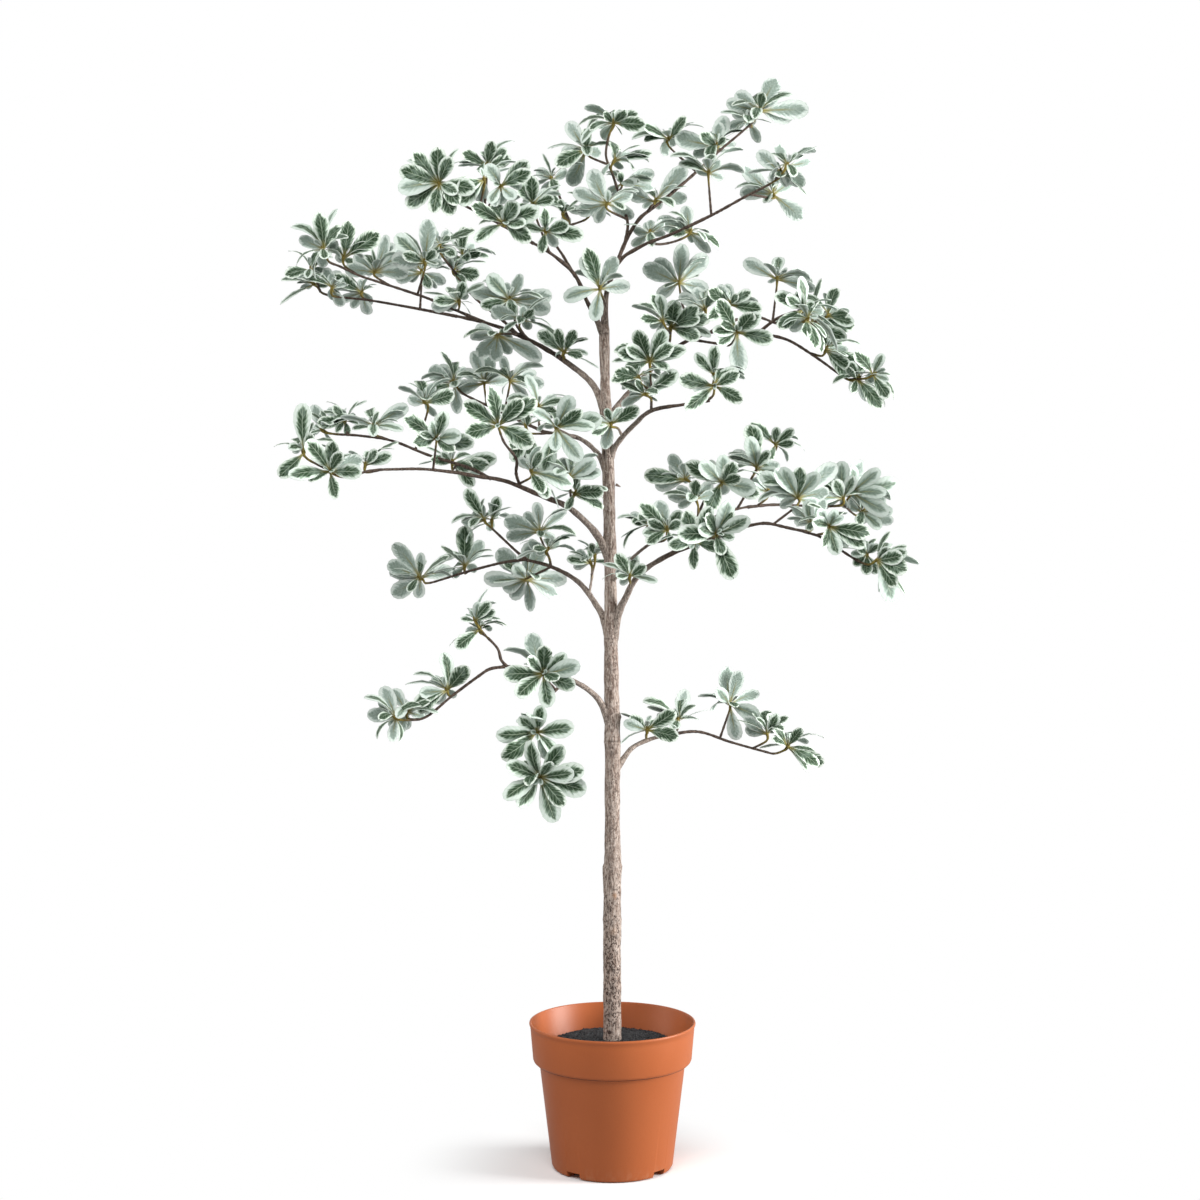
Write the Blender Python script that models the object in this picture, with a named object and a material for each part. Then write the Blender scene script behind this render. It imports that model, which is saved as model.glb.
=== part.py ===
# A variegated Madagascar almond tree, trained as a standard, in a plain nursery pot.
# Metres, +Z up.  The origin is the centre of the pot's underside, which rests on z = 0.
# The wood is a straight trunk, eleven limbs that root in it, and leafy sprays that root in the limbs.
# Every piece that roots in another is cut back to leave a gap of GAP round it.

import math
import random

import bmesh
import bpy
from mathutils import Vector
from mathutils.bvhtree import BVHTree

GAP = 0.0003
WELD_DISTANCE = 0.000002

# Pot: a 9-inch trade pot with a deep rim band and a drainage channel under its floor.
POT_HEIGHT = 0.203
POT_WALL = 0.0026
RIM_RADIUS = 0.114
BAND_HEIGHT = 0.051
BAND_FOOT_RADIUS = 0.109
SHOULDER_RADIUS = 0.0998
SHOULDER_DROP = 0.009
FOOT_RADIUS = 0.0835
FOOT_CORNER = 0.005
CHANNEL_DEPTH = 0.008
CHANNEL_RADII = (0.046, 0.068)
NOTCH_WIDTH = 0.018
NOTCH_HEIGHT = 0.0075
NOTCH_DEPTH = 0.024
NOTCH_TURN = math.radians(-40)
DRAIN_HOLES = 6
DRAIN_HOLE_RADIUS = 0.004
DRAIN_HOLE_SIDES = 8
POT_SEGMENTS = 40

# Soil: its edge lies below the rim, and it is heaped a little round the trunk.
SOIL_DROP = 0.031
SOIL_HEAP = 0.006

# Trunk: height, sideways place and radius from its buried foot to the cut top.
TRUNK_PROFILE = [
    (0.045, 0.000, 0.0125), (0.175, 0.000, 0.0123), (0.340, 0.000, 0.0122), (0.345, 0.000, 0.0130),
    (0.352, 0.000, 0.0123), (0.412, 0.000, 0.0126), (0.419, 0.000, 0.0130), (0.422, 0.000, 0.0115),
    (0.475, 0.000, 0.0106), (0.545, 0.000, 0.0105), (0.590, 0.000, 0.0106), (0.597, 0.000, 0.0112),
    (0.625, 0.000, 0.0108), (0.655, -0.001, 0.0098), (0.730, -0.002, 0.0096), (0.760, -0.002, 0.0088),
    (0.815, -0.003, 0.0083), (0.860, -0.004, 0.0088), (0.890, -0.004, 0.0081), (0.960, -0.006, 0.0082),
    (0.985, -0.007, 0.0076), (1.040, -0.009, 0.0078), (1.065, -0.010, 0.0070), (1.130, -0.011, 0.0066),
    (1.148, -0.011, 0.0072), (1.156, -0.012, 0.0062),
]
TRUNK_RESOLUTION = 3
LIMB_RESOLUTION = 1

# Leaves: a rosette is a star of blade-shaped rays about a small hub.
HUB_RADIUS = 0.0042
HUB_HEIGHT = 0.0025
HUB_SEAT = 0.0015
BLADE_WIDEST = 0.66
BLADE_HALF_WIDTH = 0.20
BLADE_CLEARANCE = 0.0008
BLADE_CLEAR_FROM = 0.12
LENGTH_RANGE = (0.86, 1.06)
CUP_ANGLES = (22, 34, 12, 44)
CUP_JITTER = 8
SPIN_JITTER = 0.07
SPIN_STEPS = 10
SECTOR_FILL = 0.94

# Twigs: radii of a spray's stem at its root, and of every twig at its rosette.
TWIG_SIDES = 4
TWIG_RADIUS = 0.0013
SHORT_STEM_RADIUS = 0.0018
LONG_STEM_RADIUS = 0.0022
LONG_STEM_PLACES = 4
TRUNK_STEM_RADIUS = 0.0034
STUB_SETBACK = 0.012

# Which way a rosette faces: +Y is behind the trunk, -Y before it.
FACING = {
    "up": (0.0, -0.22, 1.0), "front": (0.0, -1.0, 0.45), "back": (0.0, 0.85, 0.55),
    "left": (-0.85, 0.0, 0.55), "right": (0.85, 0.0, 0.55), "up_left": (-0.45, -0.1, 0.9),
    "up_right": (0.45, -0.1, 0.9), "front_right": (0.5, -0.8, 0.4), "front_down": (0.0, -1.0, 0.0),
    "up_front": (0.0, -0.6, 0.8), "back_down": (0.1, 0.9, -0.1),
}

# Places in the crown are read off its front elevation, as an eye at EYE sees it: across, up, and
# how far the place lies behind the trunk (+) or before it (-).
EYE = Vector((-0.017, -3.774, 1.142))

# Each limb: its runs of wood, as (root radius, tip radius, places from the trunk outwards).
LIMBS = {
    "limb_left_low": [
        (0.0058, 0.0020, [(-0.002, 0.612, 0.0), (-0.019, 0.648, -0.010), (-0.048, 0.671, -0.025),
                          (-0.092, 0.685, -0.040), (-0.125, 0.692, -0.048), (-0.150, 0.694, -0.050)]),
    ],
    "limb_right_low": [
        (0.0056, 0.0024, [(0.000, 0.545, 0.0), (0.017, 0.570, 0.006), (0.030, 0.584, 0.012),
                          (0.052, 0.594, 0.020), (0.076, 0.600, 0.028)]),
    ],
    "limb_left_arch": [
        (0.0060, 0.0020, [(-0.002, 0.728, 0.0), (-0.010, 0.752, 0.006), (-0.018, 0.771, 0.015),
                          (-0.046, 0.808, 0.045), (-0.085, 0.830, 0.080), (-0.125, 0.840, 0.115)]),
    ],
    "limb_right_long": [
        (0.0062, 0.0024, [(0.000, 0.730, 0.0), (0.008, 0.765, -0.006), (0.016, 0.784, -0.012),
                          (0.037, 0.819, -0.028), (0.080, 0.847, -0.050), (0.138, 0.868, -0.075),
                          (0.184, 0.886, -0.090)]),
        (0.0028, 0.0018, [(0.080, 0.847, -0.050), (0.098, 0.866, -0.015), (0.125, 0.888, 0.025),
                          (0.155, 0.904, 0.060), (0.187, 0.911, 0.085)]),
    ],
    "limb_left_long": [
        (0.0060, 0.0022, [(-0.004, 0.842, 0.0), (-0.024, 0.876, -0.012), (-0.059, 0.909, -0.035),
                          (-0.098, 0.926, -0.060), (-0.145, 0.945, -0.090), (-0.186, 0.952, -0.115),
                          (-0.211, 0.957, -0.128)]),
    ],
    "limb_left_upper": [
        (0.0048, 0.0020, [(-0.006, 0.953, 0.0), (-0.020, 0.982, 0.012), (-0.044, 1.002, 0.035),
                          (-0.072, 1.008, 0.060), (-0.098, 1.013, 0.085)]),
    ],
    "limb_right_upper": [
        (0.0046, 0.0020, [(-0.006, 0.970, 0.0), (0.005, 0.994, -0.006), (0.029, 1.021, -0.030),
                          (0.053, 1.040, -0.055), (0.096, 1.048, -0.090), (0.130, 1.053, -0.115)]),
    ],
    "limb_right_top": [
        (0.0046, 0.0022, [(-0.008, 1.026, 0.0), (0.015, 1.056, 0.008), (0.041, 1.084, 0.014),
                          (0.070, 1.112, 0.018), (0.098, 1.132, 0.020), (0.133, 1.145, 0.020),
                          (0.170, 1.147, 0.015), (0.207, 1.141, 0.008)]),
    ],
    "limb_top_left": [
        (0.0052, 0.0022, [(-0.009, 1.036, 0.0), (-0.027, 1.075, 0.014), (-0.061, 1.104, 0.040),
                          (-0.098, 1.127, 0.070), (-0.143, 1.148, 0.105), (-0.180, 1.160, 0.130),
                          (-0.214, 1.167, 0.150)]),
    ],
    "limb_crown_left": [
        (0.0040, 0.0020, [(-0.012, 1.140, 0.0), (-0.022, 1.163, -0.010), (-0.034, 1.185, -0.022),
                          (-0.052, 1.223, -0.045), (-0.086, 1.252, -0.070), (-0.110, 1.265, -0.085)]),
    ],
    "leader": [
        (0.0046, 0.0020, [(-0.011, 1.148, 0.0), (-0.010, 1.176, 0.0), (-0.007, 1.202, 0.002),
                          (0.004, 1.233, 0.008), (0.019, 1.269, 0.020), (0.036, 1.296, 0.035),
                          (0.058, 1.313, 0.050), (0.082, 1.332, 0.062)]),
        (0.0028, 0.0019, [(0.004, 1.233, 0.008), (0.017, 1.247, 0.000), (0.046, 1.263, -0.020),
                          (0.075, 1.274, -0.040), (0.102, 1.286, -0.058)]),
    ],
}

# Each spray: the limb it roots in, the places along its stem, and its rosettes, the first at the
# stem's end: (across, up, behind, facing, leaves, reach).
SPRAYS = {
    "spray_left_low_outer": ("limb_left_low", [
        (-0.146, 0.693, -0.049), (-0.166, 0.690, -0.052), (-0.182, 0.680, -0.055), (-0.218, 0.653, -0.060),
        (-0.252, 0.625, -0.068), (-0.274, 0.620, -0.078)], [
        (-0.297, 0.625, -0.090, "left", 7, 0.052), (-0.279, 0.634, -0.070, "up", 5, 0.050),
        (-0.226, 0.663, -0.040, "up_left", 7, 0.058)]),
    "spray_left_low_high": ("limb_left_low", [
        (-0.143, 0.6935, -0.049), (-0.151, 0.702, -0.050), (-0.156, 0.718, -0.045),
        (-0.172, 0.735, -0.035)], [
        (-0.180, 0.747, -0.030, "up", 5, 0.048), (-0.187, 0.758, -0.040, "up_left", 5, 0.045)]),
    "spray_left_low_hanging": ("limb_left_low", [
        (-0.060, 0.675, -0.030), (-0.072, 0.666, -0.075), (-0.090, 0.645, -0.110), (-0.100, 0.618, -0.125),
        (-0.100, 0.580, -0.140), (-0.099, 0.555, -0.155)], [
        (-0.099, 0.541, -0.185, "front_down", 8, 0.066), (-0.103, 0.603, -0.170, "front_down", 7, 0.062),
        (-0.094, 0.684, -0.115, "front", 8, 0.060)]),

    "spray_right_low_outer": ("limb_right_low", [
        (0.072, 0.599, 0.027), (0.116, 0.604, 0.045), (0.160, 0.590, 0.060), (0.206, 0.577, 0.070),
        (0.221, 0.574, 0.072)], [
        (0.239, 0.586, 0.075, "up_right", 7, 0.056), (0.210, 0.603, 0.050, "up", 5, 0.050),
        (0.159, 0.643, 0.110, "back", 7, 0.056), (0.089, 0.621, 0.055, "up", 6, 0.052)]),
    "spray_right_low_near": ("limb_right_low", [
        (0.046, 0.592, 0.018), (0.046, 0.600, 0.012)], [
        (0.047, 0.609, 0.005, "up", 7, 0.050)]),

    "spray_left_arch_outer": ("limb_left_arch", [
        (-0.120, 0.839, 0.110), (-0.152, 0.834, 0.140), (-0.198, 0.822, 0.170), (-0.248, 0.807, 0.195)], [
        (-0.262, 0.815, 0.205, "left", 8, 0.056), (-0.200, 0.831, 0.180, "up", 6, 0.050)]),
    "spray_left_arch_high": ("limb_left_arch", [
        (-0.114, 0.837, 0.105), (-0.130, 0.850, 0.115), (-0.146, 0.865, 0.130), (-0.164, 0.882, 0.145)], [
        (-0.174, 0.894, 0.155, "up_left", 6, 0.050), (-0.163, 0.893, 0.165, "up", 4, 0.046)]),
    "spray_left_arch_middle": ("limb_left_arch", [
        (-0.083, 0.829, 0.078), (-0.086, 0.842, 0.085)], [
        (-0.087, 0.854, 0.090, "up_right", 6, 0.048), (-0.098, 0.878, 0.125, "back", 6, 0.054),
        (-0.116, 0.812, 0.140, "back_down", 8, 0.058)]),
    "spray_left_arch_near": ("limb_left_arch", [
        (-0.032, 0.790, 0.030), (-0.028, 0.815, 0.035)], [
        (-0.031, 0.836, 0.040, "up_left", 5, 0.042), (-0.024, 0.846, 0.020, "up", 4, 0.040)]),

    "spray_right_long_outer": ("limb_right_long", [
        (0.180, 0.884, -0.089), (0.206, 0.888, -0.100), (0.232, 0.883, -0.112), (0.268, 0.874, -0.125),
        (0.287, 0.866, -0.132), (0.325, 0.841, -0.140), (0.345, 0.832, -0.145)], [
        (0.360, 0.840, -0.150, "right", 8, 0.060), (0.344, 0.849, -0.125, "up", 5, 0.046),
        (0.294, 0.887, -0.150, "up_right", 8, 0.056), (0.268, 0.890, -0.105, "up", 5, 0.046),
        (0.250, 0.925, -0.075, "up", 8, 0.060)]),
    "spray_right_long_front": ("limb_right_long", [
        (0.105, 0.856, -0.060), (0.112, 0.858, -0.085), (0.128, 0.866, -0.120)], [
        (0.140, 0.874, -0.160, "front", 8, 0.064), (0.111, 0.862, -0.130, "front_down", 6, 0.046)]),
    "spray_right_long_near": ("limb_right_long", [
        (0.022, 0.800, -0.018), (0.024, 0.806, -0.040)], [
        (0.023, 0.817, -0.058, "up_front", 7, 0.048)]),
    "spray_right_back_outer": ("limb_right_long", [
        (0.183, 0.910, 0.083), (0.216, 0.913, 0.110), (0.250, 0.912, 0.135), (0.280, 0.911, 0.150),
        (0.308, 0.913, 0.165)], [
        (0.324, 0.932, 0.180, "up_right", 8, 0.062), (0.311, 0.924, 0.150, "up", 6, 0.056),
        (0.338, 0.905, 0.195, "right", 6, 0.056), (0.209, 0.934, 0.090, "up", 6, 0.050)]),
    "spray_right_back_high": ("limb_right_long", [
        (0.168, 0.907, 0.072), (0.178, 0.925, 0.095), (0.187, 0.948, 0.115)], [
        (0.194, 0.966, 0.125, "up", 8, 0.062), (0.219, 0.997, 0.160, "up", 6, 0.042)]),
    "spray_right_back_left": ("limb_right_long", [
        (0.112, 0.878, 0.006), (0.118, 0.905, 0.020), (0.128, 0.925, 0.035)], [
        (0.147, 0.945, 0.050, "up_front", 8, 0.058), (0.110, 0.923, 0.010, "up_left", 6, 0.048),
        (0.098, 0.948, 0.075, "left", 5, 0.050)]),
    "spray_right_short": ("trunk", [
        (-0.003, 0.806, 0.0), (0.014, 0.827, -0.020), (0.030, 0.844, -0.045), (0.051, 0.860, -0.075),
        (0.070, 0.865, -0.100)], [
        (0.074, 0.882, -0.112, "up", 8, 0.052), (0.044, 0.888, -0.085, "left", 5, 0.040)]),

    "spray_left_long_outer": ("limb_left_long", [
        (-0.206, 0.956, -0.126), (-0.253, 0.961, -0.150), (-0.289, 0.961, -0.165), (-0.327, 0.959, -0.180),
        (-0.358, 0.950, -0.192)], [
        (-0.381, 0.959, -0.215, "front", 8, 0.060), (-0.417, 0.986, -0.200, "up_left", 7, 0.050),
        (-0.333, 0.969, -0.160, "up", 6, 0.044), (-0.238, 1.003, -0.185, "front", 7, 0.058)]),
    "spray_left_long_inner": ("limb_left_long", [
        (-0.164, 0.948, -0.102), (-0.194, 0.963, -0.090), (-0.248, 0.980, -0.075), (-0.296, 0.999, -0.060),
        (-0.339, 1.006, -0.048), (-0.370, 1.008, -0.040)], [
        (-0.391, 1.014, -0.035, "left", 7, 0.052), (-0.360, 1.029, -0.020, "up", 6, 0.050),
        (-0.322, 1.021, -0.080, "up", 6, 0.048), (-0.254, 1.052, -0.040, "up_left", 7, 0.056),
        (-0.216, 0.972, -0.060, "up", 5, 0.044)]),
    "spray_left_long_high": ("limb_left_long", [
        (-0.124, 0.936, -0.076), (-0.130, 0.955, -0.085), (-0.130, 0.975, -0.098),
        (-0.146, 0.997, -0.120)], [
        (-0.154, 1.021, -0.155, "front", 8, 0.062), (-0.110, 0.960, -0.100, "up_front", 6, 0.052)]),
    "spray_left_long_near": ("limb_left_long", [
        (-0.060, 0.909, -0.036), (-0.056, 0.920, -0.045)], [
        (-0.050, 0.930, -0.050, "up_right", 6, 0.050), (-0.058, 0.952, -0.075, "up", 6, 0.050)]),

    "spray_left_upper_outer": ("limb_left_upper", [
        (-0.094, 1.012, 0.082), (-0.131, 1.029, 0.115), (-0.165, 1.045, 0.145), (-0.200, 1.062, 0.175)], [
        (-0.214, 1.080, 0.190, "up_left", 7, 0.056), (-0.172, 1.078, 0.165, "back", 7, 0.056),
        (-0.138, 1.081, 0.145, "back", 7, 0.056), (-0.100, 1.047, 0.090, "up", 6, 0.052)]),
    "spray_left_upper_front": ("limb_left_upper", [
        (-0.050, 1.004, 0.040), (-0.060, 1.008, 0.010), (-0.068, 1.012, -0.030)], [
        (-0.076, 1.018, -0.075, "front", 8, 0.062), (-0.117, 1.020, -0.020, "up_left", 7, 0.056)]),

    "spray_right_upper_outer": ("limb_right_upper", [
        (0.125, 1.052, -0.112), (0.135, 1.060, -0.125)], [
        (0.137, 1.074, -0.140, "front", 7, 0.056), (0.136, 1.089, -0.115, "up_front", 6, 0.050)]),
    "spray_right_upper_high": ("limb_right_upper", [
        (0.052, 1.039, -0.054), (0.052, 1.056, -0.060), (0.051, 1.083, -0.065)], [
        (0.050, 1.108, -0.070, "up", 8, 0.056), (0.034, 1.086, -0.090, "up_left", 6, 0.048),
        (0.041, 1.063, -0.080, "left", 5, 0.044)]),
    "spray_right_upper_near": ("limb_right_upper", [
        (0.013, 1.005, -0.014), (0.007, 1.016, -0.030)], [
        (-0.002, 1.024, -0.045, "up_front", 7, 0.046)]),

    "spray_right_top_outer": ("limb_right_top", [
        (0.202, 1.142, 0.009), (0.224, 1.138, 0.003), (0.244, 1.130, -0.005), (0.278, 1.108, -0.015),
        (0.300, 1.092, -0.022), (0.315, 1.082, -0.028)], [
        (0.331, 1.084, -0.035, "right", 7, 0.052), (0.352, 1.090, -0.045, "right", 7, 0.050),
        (0.287, 1.124, -0.005, "up_right", 7, 0.056)]),
    "spray_right_top_end": ("limb_right_top", [
        (0.196, 1.143, 0.010), (0.204, 1.151, 0.006), (0.222, 1.164, -0.004), (0.244, 1.172, -0.020)], [
        (0.258, 1.178, -0.035, "up_right", 8, 0.056), (0.262, 1.163, -0.065, "front_right", 7, 0.056)]),
    "spray_right_top_back": ("limb_right_top", [
        (0.130, 1.144, 0.020), (0.150, 1.156, 0.050), (0.172, 1.163, 0.075), (0.195, 1.165, 0.095),
        (0.222, 1.156, 0.110), (0.250, 1.152, 0.115)], [
        (0.268, 1.158, 0.118, "up_right", 7, 0.058), (0.220, 1.218, 0.160, "up", 7, 0.054),
        (0.290, 1.168, 0.090, "right", 6, 0.052)]),
    "spray_right_top_front": ("limb_right_top", [
        (0.106, 1.135, 0.020), (0.138, 1.130, -0.025), (0.157, 1.128, -0.055)], [
        (0.167, 1.146, -0.105, "front", 8, 0.062), (0.158, 1.184, -0.060, "up", 7, 0.052)]),
    "spray_right_top_left": ("limb_right_top", [
        (0.074, 1.115, 0.018), (0.077, 1.135, 0.005)], [
        (0.078, 1.153, -0.010, "up_front", 8, 0.056), (0.066, 1.162, -0.045, "up_left", 6, 0.050)]),
    "spray_right_top_rear": ("limb_right_top", [
        (0.117, 1.139, 0.020), (0.108, 1.156, 0.060), (0.094, 1.180, 0.100)], [
        (0.089, 1.212, 0.130, "back", 8, 0.060), (0.124, 1.177, 0.055, "up", 6, 0.048)]),

    "spray_top_left_outer": ("limb_top_left", [
        (-0.209, 1.166, 0.148), (-0.250, 1.174, 0.165), (-0.288, 1.181, 0.178), (-0.330, 1.188, 0.190),
        (-0.368, 1.192, 0.200), (-0.389, 1.197, 0.205)], [
        (-0.402, 1.210, 0.210, "left", 7, 0.052), (-0.404, 1.230, 0.180, "up_left", 6, 0.052),
        (-0.376, 1.205, 0.170, "up", 6, 0.048), (-0.336, 1.199, 0.215, "back", 7, 0.054),
        (-0.256, 1.227, 0.185, "up", 7, 0.056)]),
    "spray_top_left_middle": ("limb_top_left", [
        (-0.167, 1.156, 0.122), (-0.205, 1.172, 0.100), (-0.245, 1.189, 0.080), (-0.280, 1.201, 0.060),
        (-0.314, 1.212, 0.040), (-0.341, 1.221, 0.025), (-0.364, 1.232, 0.010), (-0.380, 1.239, 0.000)], [
        (-0.388, 1.258, -0.010, "up_left", 8, 0.056), (-0.360, 1.246, 0.030, "up", 7, 0.052),
        (-0.318, 1.226, 0.080, "back", 7, 0.054), (-0.252, 1.240, 0.040, "up", 7, 0.056),
        (-0.206, 1.188, 0.060, "up_front", 7, 0.054)]),
    "spray_top_left_upper": ("limb_top_left", [
        (-0.128, 1.142, 0.096), (-0.148, 1.161, 0.115), (-0.183, 1.189, 0.150), (-0.204, 1.214, 0.170)], [
        (-0.213, 1.229, 0.185, "up", 6, 0.052), (-0.200, 1.247, 0.215, "up_right", 6, 0.052),
        (-0.231, 1.262, 0.150, "up", 7, 0.056)]),
    "spray_top_left_near": ("limb_top_left", [
        (-0.112, 1.134, 0.082), (-0.128, 1.152, 0.080), (-0.134, 1.172, 0.085)], [
        (-0.138, 1.190, 0.095, "up", 7, 0.056), (-0.120, 1.164, 0.045, "up_right", 6, 0.048),
        (-0.154, 1.141, 0.050, "back_down", 7, 0.052)]),
    "spray_top_left_stub": ("limb_top_left", [
        (-0.066, 1.107, 0.044), (-0.065, 1.112, 0.036)], [
        (-0.064, 1.120, 0.030, "up_right", 6, 0.040)]),

    "spray_crown_left_outer": ("limb_crown_left", [
        (-0.106, 1.263, -0.083), (-0.144, 1.285, -0.105), (-0.184, 1.306, -0.125), (-0.208, 1.318, -0.135),
        (-0.226, 1.325, -0.140)], [
        (-0.233, 1.345, -0.150, "up_left", 8, 0.060), (-0.172, 1.349, -0.140, "up_front", 7, 0.054),
        (-0.168, 1.368, -0.100, "up", 6, 0.050), (-0.146, 1.291, -0.175, "front", 8, 0.062),
        (-0.150, 1.340, -0.185, "front", 7, 0.056)]),
    "spray_crown_left_near": ("limb_crown_left", [
        (-0.084, 1.250, -0.069), (-0.090, 1.264, -0.085)], [
        (-0.090, 1.280, -0.140, "front", 8, 0.058), (-0.106, 1.317, -0.100, "up_front", 7, 0.056)]),
    "spray_crown_left_inner": ("limb_crown_left", [
        (-0.050, 1.219, -0.042), (-0.066, 1.246, -0.020), (-0.077, 1.266, -0.005), (-0.062, 1.281, 0.010),
        (-0.058, 1.292, 0.018)], [
        (-0.066, 1.305, 0.025, "up", 6, 0.046), (-0.082, 1.350, 0.060, "up_left", 7, 0.056),
        (-0.030, 1.306, 0.045, "up_right", 6, 0.048)]),

    "spray_leader_top": ("leader", [
        (0.078, 1.329, 0.060), (0.104, 1.351, 0.075), (0.139, 1.383, 0.090), (0.169, 1.408, 0.100),
        (0.188, 1.425, 0.108)], [
        (0.197, 1.441, 0.115, "up_right", 8, 0.054), (0.180, 1.428, 0.075, "up_left", 6, 0.050),
        (0.139, 1.394, 0.060, "up", 7, 0.052), (0.075, 1.403, 0.125, "up", 7, 0.056)]),
    "spray_leader_peak": ("leader", [
        (0.017, 1.265, 0.018), (0.020, 1.290, 0.030), (0.012, 1.317, 0.040), (0.000, 1.354, 0.045),
        (-0.009, 1.379, 0.045), (-0.005, 1.406, 0.042)], [
        (0.001, 1.425, 0.040, "up", 7, 0.054), (-0.037, 1.389, 0.070, "up_left", 7, 0.056),
        (0.003, 1.374, 0.010, "up_right", 6, 0.052), (0.012, 1.344, 0.100, "back", 6, 0.054),
        (-0.007, 1.318, 0.000, "up_front", 7, 0.058)]),
    "spray_leader_inner": ("leader", [
        (0.046, 1.305, 0.043), (0.052, 1.313, 0.030)], [
        (0.058, 1.321, 0.020, "up_right", 7, 0.052)]),
    "spray_leader_front": ("leader", [
        (-0.0095, 1.183, 0.0), (-0.014, 1.193, -0.020)], [
        (-0.017, 1.205, -0.035, "up_front", 7, 0.050)]),
    "spray_leader_right": ("leader", [
        (0.098, 1.284, -0.056), (0.137, 1.303, -0.075), (0.177, 1.325, -0.090), (0.212, 1.343, -0.100)], [
        (0.224, 1.360, -0.105, "up", 6, 0.050), (0.233, 1.368, -0.135, "up_right", 7, 0.054),
        (0.214, 1.329, -0.030, "back", 7, 0.056), (0.128, 1.359, -0.060, "up", 7, 0.058)]),
    "spray_leader_under": ("leader", [
        (0.048, 1.264, -0.021), (0.064, 1.262, 0.000), (0.084, 1.266, 0.015)], [
        (0.104, 1.280, 0.030, "up_right", 7, 0.050), (0.050, 1.279, 0.004, "up", 6, 0.046)]),
}


def clear_scene():
    for old in list(bpy.data.objects):
        bpy.data.objects.remove(old, do_unlink=True)


def make_material(name, colour, roughness):
    material = bpy.data.materials.new(name)
    material.use_nodes = True
    shader = material.node_tree.nodes["Principled BSDF"]
    shader.inputs["Base Color"].default_value = (*colour, 1.0)
    shader.inputs["Roughness"].default_value = roughness
    material.diffuse_color = (*colour, 1.0)
    return material


def spot(across, up, behind):
    # The place at depth `behind` that the eye sees at (across, up) in the plane of the trunk.
    seen = Vector((across, 0.0, up))
    return EYE.lerp(seen, (behind - EYE.y) / -EYE.y)


def curved(points, count):
    # `count` places along a Catmull-Rom curve through the points.
    ends = [2 * points[0] - points[1]] + points + [2 * points[-1] - points[-2]]
    spans = len(points) - 1
    route = []
    for step in range(count):
        place = spans * step / (count - 1)
        span = min(int(place), spans - 1)
        t = place - span
        a, b, c, d = ends[span:span + 4]
        route.append(0.5 * (2 * b + (c - a) * t + (2 * a - 5 * b + 4 * c - d) * t * t
                            + (3 * b - a - 3 * c + d) * t * t * t))
    return route


def place_object(name, data):
    obj = bpy.data.objects.new(name, data)
    bpy.context.scene.collection.objects.link(obj)
    return obj


def bake(obj):
    # Swap an object for its evaluated mesh.
    bpy.context.view_layer.update()
    graph = bpy.context.evaluated_depsgraph_get()
    mesh = bpy.data.meshes.new_from_object(obj.evaluated_get(graph))
    name = obj.name
    bpy.data.objects.remove(obj, do_unlink=True)
    return place_object(name, mesh)


def welded(obj):
    # A curve's end caps come loose, and a Boolean leaves many-sided faces: join and triangulate them.
    shape = bmesh.new()
    shape.from_mesh(obj.data)
    bmesh.ops.remove_doubles(shape, verts=shape.verts, dist=WELD_DISTANCE)
    bmesh.ops.triangulate(shape, faces=shape.faces)
    bmesh.ops.recalc_face_normals(shape, faces=shape.faces)
    shape.to_mesh(obj.data)
    shape.free()
    return obj


def round_wood(name, route, radii, resolution):
    # A tapering round stem along a route, with closed ends.
    curve = bpy.data.curves.new(name, "CURVE")
    curve.dimensions = "3D"
    curve.bevel_depth = 1.0
    curve.bevel_resolution = resolution
    curve.use_fill_caps = True
    spline = curve.splines.new("POLY")
    spline.points.add(len(route) - 1)
    for point, place, radius in zip(spline.points, route, radii):
        point.co = (*place, 1.0)
        point.radius = radius
    return welded(bake(place_object(name, curve)))


def tapered(root, tip, count):
    # Radii that flare at the root and then taper evenly.
    radii = []
    for step in range(count):
        t = step / (count - 1)
        radii.append(tip + (root - tip) * ((1 - t) * 0.55 + 0.45 * (1 - t) ** 4))
    return radii


def joined(target, others, operation):
    # Apply a Boolean of each other object to the target, and drop the others.
    for other in others:
        modifier = target.modifiers.new("join", "BOOLEAN")
        modifier.operation = operation
        modifier.solver = "EXACT"
        modifier.object = other
        target = welded(bake(target))
        bpy.data.objects.remove(other, do_unlink=True)
    return target


def turned(name, profile, segments):
    # A closed solid turned about the Z axis from (radius, height) pairs, running up its outer side.
    mesh = bpy.data.meshes.new(name)
    shape = bmesh.new()
    rings = []
    for radius, height in profile:
        if radius == 0.0:
            rings.append([shape.verts.new((0.0, 0.0, height))])
            continue
        ring = []
        for step in range(segments):
            angle = math.tau * step / segments
            ring.append(shape.verts.new((radius * math.cos(angle), radius * math.sin(angle), height)))
        rings.append(ring)
    for below, above in zip(rings, rings[1:] + rings[:1]):
        for step in range(segments):
            turn = (step + 1) % segments
            corners = [below[step % len(below)], below[turn % len(below)],
                       above[turn % len(above)], above[step % len(above)]]
            corners = list(dict.fromkeys(corners))
            if len(corners) > 2:
                shape.faces.new(corners)
    bmesh.ops.recalc_face_normals(shape, faces=shape.faces)
    shape.to_mesh(mesh)
    shape.free()
    return place_object(name, mesh)


def box_cutter(name, size, centre, turn):
    mesh = bpy.data.meshes.new(name)
    shape = bmesh.new()
    bmesh.ops.create_cube(shape, size=1.0)
    bmesh.ops.scale(shape, vec=size, verts=shape.verts)
    shape.to_mesh(mesh)
    shape.free()
    obj = place_object(name, mesh)
    obj.location = centre
    obj.rotation_euler.z = turn
    return obj


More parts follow.
